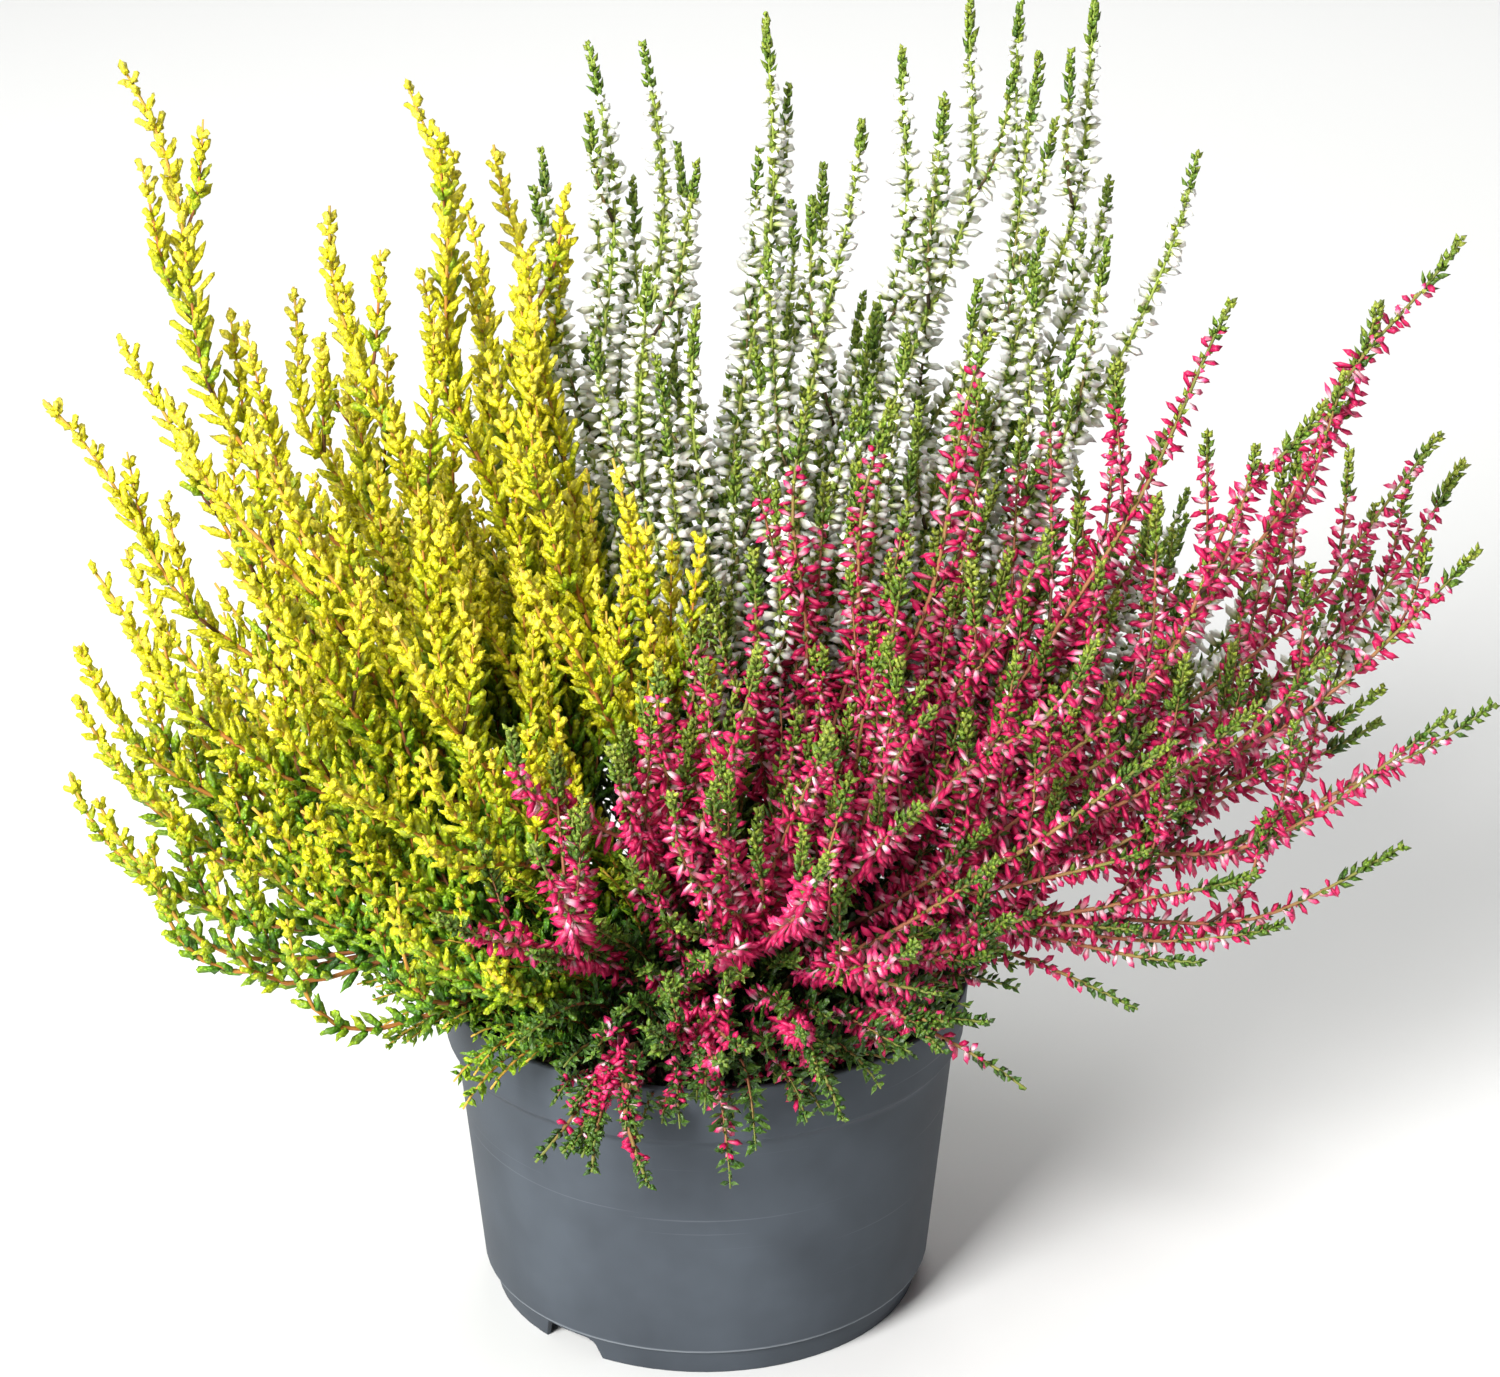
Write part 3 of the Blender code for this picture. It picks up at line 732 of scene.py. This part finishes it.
def shoot_path(spray, index, rng):
    """Lengths and points along one shoot; a side shoot leaves the main one at its fork. Its steps
    turn towards upright in its outer part, the more the further out it leans."""
    seed, total = spray["shoots"][index]
    inner_turn, outer_turn = TURN_UP[spray["plant"]]
    turn_up = inner_turn + outer_turn * abs(seed) ** 2
    total *= 1 + TURNED_GROWTH * outer_turn * abs(seed) ** 2
    begin = FIRST_FORK + FORK_STEP * (index % 3) if index else 0.0
    length = run_of(begin, total)
    main_seed = spray["shoots"][0][0]
    path_seed = spray["seed"] + (main_seed - spray["seed"]) * ease(length / FORK_RUN)
    if index:
        path_seed = path_seed + (seed - path_seed) * ease((length - begin) / FORK_RUN)
    points = bent(point_at(path_seed, length), length, BEND[spray["plant"]], rng)
    step = np.diff(points, axis=0)
    far = np.linalg.norm(step, axis=1, keepdims=True)
    share = turn_up * ease((length[1:] / total - 0.4) / 0.6)[:, None]
    step = far * unit((1 - share) * step / far + share * np.array([0, 0, 1]))
    return length, points[0] + np.concatenate([[[0, 0, 0]], np.cumsum(step, axis=0)])


def frames(points):
    """Tangent, and two directions across it, at each point of a path."""
    tangent = unit(np.gradient(points, axis=0))
    outward = points[-1, :2] - points[0, :2] + 1e-6
    sideways = np.array([-outward[1], outward[0], 0]) / np.hypot(*outward)
    across = unit(sideways - (tangent @ sideways)[:, None] * tangent)
    return tangent, across, np.cross(tangent, across)


def branch_path(length, points, place, total, wood, rng):
    """A branch that leaves a shoot at a place along it: its direction goes from the shoot's own,
    opened to its upper side, to nearly upright, and is summed along the branch."""
    tangent, across, over = frames(points)
    row = int(np.searchsorted(length, place))
    turn = rng.uniform(0, 2 * math.pi)
    out = math.cos(turn) * across[row] + math.sin(turn) * over[row]
    out[2] = abs(out[2])
    first = unit(tangent[row] + 0.7 * out)
    last = unit(np.array([0, 0, wood["upright"]]) + wood["spread"] * out
                + (1 - wood["upright"]) * tangent[row])
    own = run_of(0, total)
    share = ease(own / BRANCH_TURN)[:, None]
    step = np.diff(own, prepend=0)[:, None]
    path = points[row] + np.cumsum(step * unit((1 - share) * first + share * last), axis=0)
    return own, bent(path, own, wood["bend"], rng)


MARKS = ("tone", "ripe", "along")


class Skins:
    """Small closed skins gathered for one piece, with what its materials read at each point:
    tone is a random share for each skin, ripe runs from the shoot's foot to its tip and on leaves
    is lowered near the soil, partly as painted shade, and along runs from a skin's own base to its
    end."""

    def __init__(self):
        self.points, self.faces, self.finish, self.values = [], [], [], []
        self.count = 0

    def add(self, points, faces, finish, tone, ripe, along):
        """Add skins that share a finish."""
        self.points.append(points)
        self.faces.append(faces + self.count)
        self.finish.append(np.full(len(faces), finish))
        self.values.append(np.stack([tone, ripe, along]))
        self.count += len(points)

    def piece(self, name, materials):
        """Make the piece. All is shaded smooth but the leaves at the foot, which keep their edges."""
        obj = mesh_object(name, np.concatenate(self.points), np.concatenate(self.faces))
        mesh = obj.data
        for material in materials:
            mesh.materials.append(material)
        finish = np.concatenate(self.finish).astype(np.int32)
        mesh.polygons.foreach_set("material_index", finish)
        mesh.polygons.foreach_set("use_smooth", finish != FOOT_LEAVES)
        values = np.concatenate(self.values, axis=1).astype(np.float32)
        for key, row in zip(MARKS, values):
            mesh.attributes.new(key, "FLOAT", "POINT").data.foreach_set("value", row.copy())
        return obj


def stem_skin(skins, length, points, radii, sides, tone):
    """A closed tube along a path, from one radius at its foot to the other at its tip."""
    kept = np.unique(np.concatenate([np.arange(0, len(points), STEM_STEP), [len(points) - 1]]))
    _, across, over = (part[kept] for part in frames(points))
    share = (length[kept] - length[0]) / (length[-1] - length[0])
    radius = radii[0] + (radii[1] - radii[0]) * share ** 0.8
    turn = round_turn(sides)
    spokes = np.cos(turn)[:, None] * across[:, None] + np.sin(turn)[:, None] * over[:, None]
    rings = points[kept][:, None] + radius[:, None, None] * spokes
    skin = np.concatenate([points[:1], rings.reshape(-1, 3), points[-1:]])
    ripe = np.concatenate([share[:1], np.repeat(share, sides), share[-1:]])
    blank = np.zeros(len(skin))
    skins.add(skin, skin_faces(len(kept), sides), WOOD, blank + tone, ripe, blank)


def grow(skins, spray, wood, rng):
    """The spray's wood: the main stem, sunk into the soil, its side shoots, and the branches that
    leave them. Gives the lengths and points of each, and whether it is a branch."""
    grown = []
    for index in range(len(spray["shoots"])):
        length, points = shoot_path(spray, index, rng)
        points[0, 2] -= 0 if index else STEM_DEPTH
        radii = wood["thick"] * (SIDE_SHOOT if index else 1), SHOOT_TIP
        stem_skin(skins, length, points, radii, MAIN_SIDES, rng.uniform())
        grown.append((length, points, False))
        place = BRANCHES_FROM + wood["every"] * rng.uniform()
        while place < length[-1] - BRANCHES_END:
            total = min(rng.uniform(*wood["long"]), 0.7 * (length[-1] - place))
            own, path = branch_path(length, points, place, total, wood, rng)
            stem_skin(skins, own, path, BRANCH_WOOD, FINE_SIDES, rng.uniform())
            grown.append((own, path, True))
            place += wood["every"] * rng.uniform(0.7, 1.3)
    return grown


def leafy_form(levels, ranks):
    """A side twig clad in ranks of scale leaves: at each level every other corner stands out and
    leans up, and the next level has the others standing out. It tapers by about a third."""
    level = np.arange(levels)[:, None]
    corner = np.arange(ranks)[None]
    raised = (level + corner) % 2 == 0
    taper = 1 - 0.35 * (level / max(levels - 1, 1)) ** 2
    radius = np.where(raised, 1.0, 0.62) * taper
    height = (level + 0.4 + 0.5 * raised) / (levels + 0.2)
    turn = round_turn(ranks)
    rings = np.stack([radius * np.cos(turn), radius * np.sin(turn), height], axis=-1)
    points = np.concatenate([[[0, 0, 0]], rings.reshape(-1, 3), [[0, 0, 1]]])
    return points, skin_faces(levels, ranks)


LEAFY_TWIG = leafy_form(3, 4)
LEAFY_TUFT = leafy_form(2, 4)
LEAF = spindle_form([1.0], [0.45], 3)


def part_of(length, points, start, end):
    """The part of a path between two lengths."""
    cuts = run_of(start, end)
    return cuts, read_off(points, length, cuts)


def pairs(start, end, spacing, rng):
    """Places of opposite pairs along a shoot and their turns: each pair stands a quarter turn
    on from the last, with a little slack in both."""
    count = max(1, int((end - start) / spacing))
    place = np.repeat(start + spacing * (np.arange(count) + 0.5), 2)
    turn = np.pi * (0.5 * np.repeat(np.arange(count), 2) + np.tile([0, 1], count))
    place = place + rng.uniform(-0.4, 0.4, 2 * count) * spacing
    return place, turn + rng.uniform(-0.5, 0.5, 2 * count) + rng.uniform(0, 2)


def bunched(place, kept, rng):
    """Which of the places carry something: a share of them, more in some stretches than others."""
    wave = 2 * np.pi / rng.uniform(*BUNCHES)
    chance = kept + (1 - kept) * np.sin(wave * place + rng.uniform(0, 6))
    return rng.uniform(0, 1, len(place)) < chance


def stand(length, points, place, turn, opening, rise):
    """Base and direction of what grows at given places along a shoot: turned round it, opened
    away from it, and bent up to the light, or down where rise is negative."""
    tangent, across, over = (unit(read_off(part, length, place)) for part in frames(points))
    out = np.cos(turn)[:, None] * across + np.sin(turn)[:, None] * over
    direction = np.cos(opening)[:, None] * tangent + np.sin(opening)[:, None] * out
    direction[:, 2] += rise
    return read_off(points, length, place), unit(direction)


def rim_room(points):
    """Distance from the pot's wall, which ends in the lip."""
    half = 0.001
    beside = np.abs(np.hypot(points[:, 0], points[:, 1]) - RIM_RADIUS + half) - half
    return np.hypot(np.maximum(beside, 0), np.maximum(points[:, 2] - POT_HEIGHT, 0))


def set_out(skins, habit, path, rng):
    """Clothe a path in opposite pairs of one form. The habit holds the form and its finish, the
    spacing of the pairs and the share of them that is kept, their length low down, at the tip and
    the run between the two, their half width, how far they open from the stem and rise to the
    light, and their ripeness at both ends. Near the soil ripeness is lowered: partly the real
    greening of leaves in shade, partly painted shade. Beside the rim they stay short."""
    length, points = path
    start, end = length[0], length[-1]
    place, turn = pairs(start, end, habit["spacing"], rng)
    held = bunched(place, habit["kept"], rng)
    place, turn = place[held], turn[held]
    count = len(place)
    base, direction = stand(length, points, place, turn, rng.uniform(*habit["open"], count),
                            rng.uniform(*habit["rise"], count))
    low_long, tip_long, run = habit["long"]
    long = low_long + (tip_long - low_long) * np.clip(1 - (end - place) / run, 0, 1)
    long = long * rng.uniform(0.78, 1.12, count)
    long = np.minimum(long, np.maximum(rim_room(base) - RIM_CLEARANCE, SHORTEST_LEAF))
    wide = np.minimum(habit["wide"] * rng.uniform(0.85, 1.15, count), 0.4 * long)
    corners, triangles = habit["form"]
    points, faces = laid_out(
        corners, triangles, base, direction, long, wide, rng.uniform(0, 2 * np.pi, count))
    low_ripe, tip_ripe = habit["ripe"]
    ripe = low_ripe + (tip_ripe - low_ripe) * (place - start) / (end - start)
    # Painted shade, partly real greening in shade: the nearer the soil, the lower the ripeness and
    # the greener and darker the colour.
    ripe *= PAINTED_SHADE_SHARE + (1 - PAINTED_SHADE_SHARE) * ease((base[:, 2] - SOIL_TOP) / PAINTED_SHADE_RISE)
    ripe += rng.uniform(-0.06, 0.06)
    tone = np.repeat(rng.uniform(0, 1, count), len(corners))
    skins.add(points, faces, habit["finish"], tone, np.repeat(ripe, len(corners)),
              np.tile(corners[:, 2], count))


FOOT_TWIGS = {"form": LEAFY_TUFT, "finish": FOOT_LEAVES, "spacing": 0.0058, "wide": 0.0010,
              "long": (0.0078, 0.0040, 0.030), "open": (0.7, 1.2), "rise": (0.0, 0.5),
              "ripe": (0.3, 1.4), "kept": 1}
FOOT_NEEDLES = dict(FOOT_TWIGS, form=LEAF, spacing=0.0019, wide=0.0007,
                    long=(0.0050, 0.0032, 0.020), open=(0.6, 1.3))

# How far up a foot shoot its twigs and needles start, and how much sooner it bends than others
TWIGS_FROM = 0.008
NEEDLES_FROM = 0.010
EARLY_BEND = 0.04


def foot_shoots(skins, spray, rng):
    """Short leafy shoots round the foot of the stem, which bend from low down and are shorter the
    further out they stand. Those past the stem ring hang over the rim, and are shorter still by
    their plant's share. Gives their paths."""
    paths = []
    for seed in spray["foot_seeds"]:
        total = (FOOT_LENGTH - FOOT_LOSS * abs(seed)) * rng.uniform(0.72, 1.12)
        total *= RIM_TUFT_SHARE[spray["plant"]] if abs(seed) > 1 else 1
        length = np.linspace(0, total, 24)
        points = bent(point_at(seed, length), length + EARLY_BEND, BEND["yellow"], rng)
        points[0, 2] -= STEM_DEPTH
        stem_skin(skins, length, points, FOOT_WOOD, FINE_SIDES, rng.uniform())
        set_out(skins, FOOT_TWIGS, part_of(length, points, TWIGS_FROM, total), rng)
        set_out(skins, FOOT_NEEDLES, part_of(length, points, NEEDLES_FROM, total), rng)
        paths.append((length, points))
    return paths


BARK_FIBRE = 0.004
LEAF_GRAIN = 0.0011


def heather_bark(name, stops):
    """Heather wood, grown: matt and fibrous, dark at the foot of a shoot, where it is old, and
    brighter and paler towards the tip, where the bark is young."""
    bark = new_material(name, {"Roughness": 0.72})
    ripe = add_node(bark, "Attribute", attribute_name="ripe").outputs["Fac"]
    place = add_node(bark, "TexCoord").outputs["Object"]
    fibre = add_node(bark, "TexNoise", {"Vector": place, "Scale": 1 / BARK_FIBRE, "Detail": 3})
    spread = add_node(bark, "MapRange", {"Value": fibre, "To Min": -0.16, "To Max": 0.16})
    aged = add_node(bark, "Math", {0: ripe, 1: spread})
    colour = colour_stops(add_node(bark, "ValToRGB", {"Fac": aged}), stops)
    bump = add_node(bark, "Bump", {"Height": fibre, "Strength": 0.4, "Distance": 0.0002})
    dress(bark, {"Base Color": colour, "Normal": bump})
    return bark


def leaf_skin(name, stops):
    """Living scale leaves, grown: a satin skin whose colour runs from the foot of a shoot to its
    tip, darker low in the bush, partly the real greening of leaves in shade and partly painted
    shade, and a little different on each twig. The leaves are tiny and overlap, so the
    skin is broken into grains about a millimetre wide with darker lines between."""
    leaf = new_material(name, {"Roughness": 0.5, "Subsurface Weight": 0.12,
                               "Subsurface Radius": (0.4, 0.5, 0.1), "Subsurface Scale": 0.001})
    tone, ripe, along = (
        add_node(leaf, "Attribute", attribute_name=key).outputs["Fac"] for key in MARKS)
    waver = add_node(leaf, "MapRange", {"Value": tone, "To Min": -0.15, "To Max": 0.15})
    fresh = add_node(leaf, "MapRange", {"Value": along, "To Min": -0.12, "To Max": 0.14})
    both = add_node(leaf, "Math", {0: waver, 1: fresh})
    total = add_node(leaf, "Math", {0: both, 1: ripe})
    colour = colour_stops(add_node(leaf, "ValToRGB", {"Fac": total}), stops)
    place = add_node(leaf, "TexCoord").outputs["Object"]
    grain = add_node(leaf, "TexVoronoi", {"Vector": place, "Scale": 1 / LEAF_GRAIN})
    line = add_node(leaf, "MapRange", {
        "Value": grain, "From Max": 0.65, "To Min": 1.30, "To Max": 0.52})
    shaded = add_node(leaf, "HueSaturation", {"Value": line, "Color": colour})
    bump = add_node(leaf, "Bump", {"Height": line, "Strength": 1.0, "Distance": 0.0005})
    dress(leaf, {"Base Color": shaded, "Normal": bump})
    return leaf


sprays = lay_out_sprays()


# Yellow heather. A foliage heather without flowers: woody stems set all round with short side
# twigs, each clad in tiny overlapping scale leaves. Leaves in the sun are golden yellow, and those
# in the shade inside the bush stay green. Low in the bush and at the foot the leaves are also
# coloured darker, which is painted shade.

YELLOW_WOOD = {"thick": 0.0012, "every": 0.021, "long": (0.040, 0.075), "upright": 0.85,
               "spread": 0.15, "bend": 0.0035}
YELLOW_TWIGS = {"form": LEAFY_TWIG, "finish": LEAVES, "spacing": 0.0034, "wide": 0.0014,
                "long": (0.0098, 0.0038, 0.06), "open": (0.55, 0.95), "rise": (0.1, 0.4),
                "ripe": (0.36, 0.92), "kept": 1}
YELLOW_BRANCH_TWIGS = dict(YELLOW_TWIGS, long=(0.0086, 0.0034, 0.04), ripe=(0.44, 0.96))

# Bare length at the foot of a branch and of a shoot, and how much more that is inside the bush
BARE_BRANCH = 0.006
BARE_STEM = 0.026
BARE_INSIDE = 0.040
MIDDLE_REACH = 0.12


def inside_share(points):
    """How far inside the bush a shoot ends: 1 over the middle of the pot, and 0 from 120 mm out."""
    return np.clip(1 - np.hypot(*points[-1, :2]) / MIDDLE_REACH, 0, 1)


golden_leaf = leaf_skin("golden heather leaf", [
    (0.0, "#2A5A0E"), (0.2, "#5E9A14"), (0.4, "#A4C412"), (0.6, "#DCDE0E"), (0.8, "#F8EC14"),
    (1.0, "#FFF040")])
# A darker, shaded copy of the golden leaf for the short shoots at the foot: painted shade.
yellow_shade_leaf = leaf_skin("shaded golden heather leaf", [
    (0.0, "#1F4A0E"), (0.3, "#4A881A"), (0.6, "#96BC1C"), (1.0, "#D8D824")])
yellow_bark = heather_bark("golden heather bark", [
    (0.05, "#4A3020"), (0.3, "#8A5228"), (0.6, "#B8752F"), (0.95, "#C8A23C")])

for spray in (s for s in sprays if s["plant"] == "yellow"):
    rng = np.random.default_rng([31, spray["number"]])
    skins = Skins()
    for length, points, is_branch in grow(skins, spray, YELLOW_WOOD, rng):
        bare = max(length[0] + 0.010, BARE_STEM + BARE_INSIDE * inside_share(points))
        start = BARE_BRANCH if is_branch else bare
        set_out(skins, YELLOW_BRANCH_TWIGS if is_branch else YELLOW_TWIGS,
                part_of(length, points, start, length[-1]), rng)
    foot_shoots(skins, spray, rng)
    piece = skins.piece(f"yellow_heather_{spray['number']:02d}",
                        [yellow_bark, golden_leaf, yellow_shade_leaf])
    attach(piece, "root")
    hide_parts(f"yellow_spray_{spray['number']:02d}")


# White heather. Upright spikes of closed white buds, each bud four papery sepals folded to a
# pointed spindle, in pairs close together round a green-brown stem. The spike ends in a short
# leafy green tip, and below the buds the stem carries green twigs.

BUD = spindle_form([0.70, 1.0], [0.24, 0.66], 3)

# How far along a shoot the buds start, inside the bush and at its edge, how long the green tip is,
# and where the lowest green twigs stand
BUD_STARTS = {"white": (0.108, 0.078), "pink": (0.062, 0.036)}
TIP_LONG = {"white": (0.006, 0.014), "pink": (0.005, 0.017)}
LOWEST_TWIGS = 0.040

WHITE_WOOD = {"thick": 0.0011, "every": 0.036, "long": (0.050, 0.100), "upright": 0.6,
              "spread": 0.10, "bend": 0.0014}
WHITE_BUDS = {"form": BUD, "finish": BUDS, "spacing": 0.0021, "wide": 0.0013,
              "long": (0.0060, 0.0030, 0.030), "open": (0.80, 1.6), "rise": (-0.6, 0.0),
              "ripe": (0.5, 0.5), "kept": 0.98}
WHITE_BRACTS = {"form": LEAF, "finish": LEAVES, "spacing": 0.0029, "wide": 0.0009,
                "long": (0.0038, 0.0028, 0.03), "open": (0.45, 1.0), "rise": (0.0, 0.2),
                "ripe": (0.36, 0.80), "kept": 1}
WHITE_TIP = dict(WHITE_BRACTS, spacing=0.0013, long=(0.0046, 0.0022, 0.014), open=(0.40, 0.80),
                 ripe=(0.50, 0.75))
LOW_TWIGS = {"form": LEAFY_TUFT, "finish": LEAVES, "spacing": 0.0050, "wide": 0.0012,
             "long": (0.0078, 0.0078, 0.01), "open": (0.7, 1.1), "rise": (0.0, 0.4),
             "ripe": (0.3, 0.5), "kept": 1}


def bud_skin(name, stops, aged_stops):
    """Papery sepals, grown: matt, with a waxy light; each bud runs from its green or pale base to
    its point, and the aged ones take the second run of colours."""
    sepal = new_material(name, {"Roughness": 0.48, "Subsurface Weight": 0.2,
                                "Subsurface Radius": (0.8, 0.6, 0.6), "Subsurface Scale": 0.001})
    tone, along = (add_node(sepal, "Attribute", attribute_name=key).outputs["Fac"]
                   for key in ("tone", "along"))
    young = colour_stops(add_node(sepal, "ValToRGB", {"Fac": along}), stops)
    old = colour_stops(add_node(sepal, "ValToRGB", {"Fac": along}), aged_stops)
    aged = add_node(sepal, "MapRange", {"Value": tone, "From Min": 0.50, "From Max": 0.90})
    colour = add_node(
        sepal, "Mix", {"Factor": aged, COLOUR_A: young, COLOUR_B: old}, data_type="RGBA")
    shade = add_node(sepal, "MapRange", {"Value": tone, "To Min": 0.82, "To Max": 1.0})
    dull = add_node(sepal, "HueSaturation", {"Value": shade, "Color": colour.outputs[MIXED]})
    dress(sepal, {"Base Color": dull})
    return sepal


def flower_spike(skins, grown, plant, habits, rng):
    """Green twigs low down, pairs of buds with small leaves between them above, and a leafy tip.
    Lower buds are hidden in the middle of the bush, so there the buds start higher."""
    length, points, is_branch = grown
    buds, bracts, tip = habits
    total = length[-1]
    middle_start, outer_start = BUD_STARTS[plant]
    first = outer_start + (middle_start - outer_start) * inside_share(points)
    first = 0.004 if is_branch else min(max(first, length[0] + 0.012), 0.55 * total)
    last = max(total - rng.uniform(*TIP_LONG[plant]), first + 0.008)
    start = max(length[0] + 0.008, LOWEST_TWIGS)
    if first > start + 0.006:
        set_out(skins, LOW_TWIGS, part_of(length, points, start, first), rng)
    set_out(skins, buds, part_of(length, points, first, last), rng)
    set_out(skins, bracts, part_of(length, points, first, last), rng)
    set_out(skins, tip, part_of(length, points, last - 0.003, total), rng)


green_leaf = leaf_skin("green heather leaf", [
    (0.0, "#22400F"), (0.3, "#446E18"), (0.6, "#789A26"), (1.0, "#B4BE40")])
# A darker, shaded copy of the green leaf for the short shoots at the foot: painted shade.
shade_leaf = leaf_skin("shaded heather leaf", [
    (0.0, "#1A3410"), (0.4, "#3C661C"), (0.75, "#6C922A"), (1.0, "#A0B43C")])
white_bark = heather_bark("white heather bark", [
    (0.05, "#443422"), (0.3, "#786638"), (0.5, "#8A8C3C"), (0.95, "#94A844")])
white_bud = bud_skin("white bud sepal", [
    (0.0, "#8FA83C"), (0.22, "#CCD690"), (0.42, "#FBFBF2"), (1.0, "#FFFEFA")], [
    (0.0, "#7C9634"), (0.3, "#C4CC88"), (0.55, "#F4F3E2"), (1.0, "#FAF7EC")])

for spray in (s for s in sprays if s["plant"] == "white"):
    rng = np.random.default_rng([47, spray["number"]])
    skins = Skins()
    for grown in grow(skins, spray, WHITE_WOOD, rng):
        flower_spike(skins, grown, "white", (WHITE_BUDS, WHITE_BRACTS, WHITE_TIP), rng)
    foot_shoots(skins, spray, rng)
    piece = skins.piece(f"white_heather_{spray['number']:02d}",
                        [white_bark, green_leaf, shade_leaf, white_bud])
    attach(piece, "root")
    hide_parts(f"white_spray_{spray['number']:02d}")


# Pink heather. Like the white one, with slimmer magenta buds, the older ones pale at their base,
# side branches that turn upright, short leafy tips and pink-brown stems. Some of the tufts that
# hang over the rim flower too.

PINK_WOOD = {"thick": 0.0011, "every": 0.025, "long": (0.040, 0.078), "upright": 0.85,
             "spread": 0.2, "bend": 0.0030}
PINK_BUDS = {"form": BUD, "finish": BUDS, "spacing": 0.00175, "wide": 0.00090,
             "long": (0.0058, 0.0034, 0.030), "open": (0.60, 1.7), "rise": (-0.7, 0.1),
             "ripe": (0.5, 0.5), "kept": 0.90}
PINK_BRACTS = dict(WHITE_BRACTS, spacing=0.0048, wide=0.0008, long=(0.0036, 0.0026, 0.03))
PINK_TIP = dict(WHITE_TIP, long=(0.0050, 0.0026, 0.018), open=(0.5, 1.0), ripe=(0.45, 0.90))
FLOWERING_FEET = 0.52  # share of the short shoots that flower

pink_bark = heather_bark("pink heather bark", [
    (0.05, "#452C22"), (0.3, "#84503A"), (0.6, "#A8684A"), (0.85, "#7C7634"), (1.0, "#6E7E30")])
pink_bud = bud_skin("magenta bud sepal", [
    (0.0, "#8C1C42"), (0.25, "#BC1450"), (0.6, "#DA1A60"), (1.0, "#BC104C")], [
    (0.0, "#F6ECE0"), (0.42, "#F6C8D2"), (0.68, "#E2407C"), (1.0, "#C81A58")])

for spray in (s for s in sprays if s["plant"] == "pink"):
    rng = np.random.default_rng([59, spray["number"]])
    skins = Skins()
    for grown in grow(skins, spray, PINK_WOOD, rng):
        flower_spike(skins, grown, "pink", (PINK_BUDS, PINK_BRACTS, PINK_TIP), rng)
    for length, points in foot_shoots(skins, spray, rng):
        if rng.uniform() < FLOWERING_FEET:
            total = length[-1]
            set_out(skins, PINK_BUDS, part_of(length, points, 0.4 * total, 0.85 * total), rng)
    piece = skins.piece(f"pink_heather_{spray['number']:02d}",
                        [pink_bark, green_leaf, shade_leaf, pink_bud])
    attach(piece, "root")
    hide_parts(f"pink_spray_{spray['number']:02d}")


# Studio. A plain pale floor that runs past every view, a large soft key light from the upper left
# front, a weak fill from the left, a soft light behind, a soft overhead light and a pale surround.

FLOOR_SIZE = 16.0
BUSH_MIDDLE = 0.16


def area_light(name, place, size, power):
    """A square soft light that faces the middle of the bush."""
    light = bpy.data.lights.new(name, "AREA")
    light.size = size
    light.energy = power
    obj = scene_object(name, light)
    x, y, z = place
    obj.location = place
    obj.rotation_euler = (math.atan2(math.hypot(x, y), z - BUSH_MIDDLE), 0, math.atan2(x, -y))


corners = np.array([[-1, -1, 0], [1, -1, 0], [1, 1, 0], [-1, 1, 0]])
floor = mesh_object("studio_floor", FLOOR_SIZE / 2 * corners, np.array([[0, 1, 2], [0, 2, 3]]))
floor.data.materials.append(new_material("matt white paper", {
    "Base Color": linear("#E4E4E2"), "Roughness": 0.9}))

area_light("key", (-1.3, -1.85, 1.45), 1.0, 136)
area_light("fill", (-1.6, 0.4, 1.2), 1.4, 4)
area_light("back", (0.2, 2.0, 1.9), 1.2, 26)

overhead = bpy.data.lights.new("overhead", "SUN")
overhead.energy = 1.0
overhead.angle = math.radians(35)
scene_object("overhead", overhead)

world = bpy.data.worlds.new("studio surround")
world.use_nodes = True
surround = world.node_tree.nodes["Background"].inputs
surround["Color"].default_value = linear("#F3F6FA")
surround["Strength"].default_value = 0.15
bpy.context.scene.world = world
bpy.context.scene.view_settings.view_transform = "Standard"

# Camera at the photograph's viewpoint: one metre from the origin, 31 degrees above the floor
CAMERA_RISE = 31
CAMERA_TILT = 22.0
CAMERA_PAN = 0.8
CAMERA_LENS = 86.26

camera = scene_object("camera", bpy.data.cameras.new("camera"))
camera.data.sensor_width = 36
camera.data.lens = CAMERA_LENS
camera.location = (0, -math.cos(math.radians(CAMERA_RISE)), math.sin(math.radians(CAMERA_RISE)))
camera.rotation_euler = (math.radians(90 - CAMERA_TILT), 0, math.radians(-CAMERA_PAN))
bpy.context.scene.camera = camera
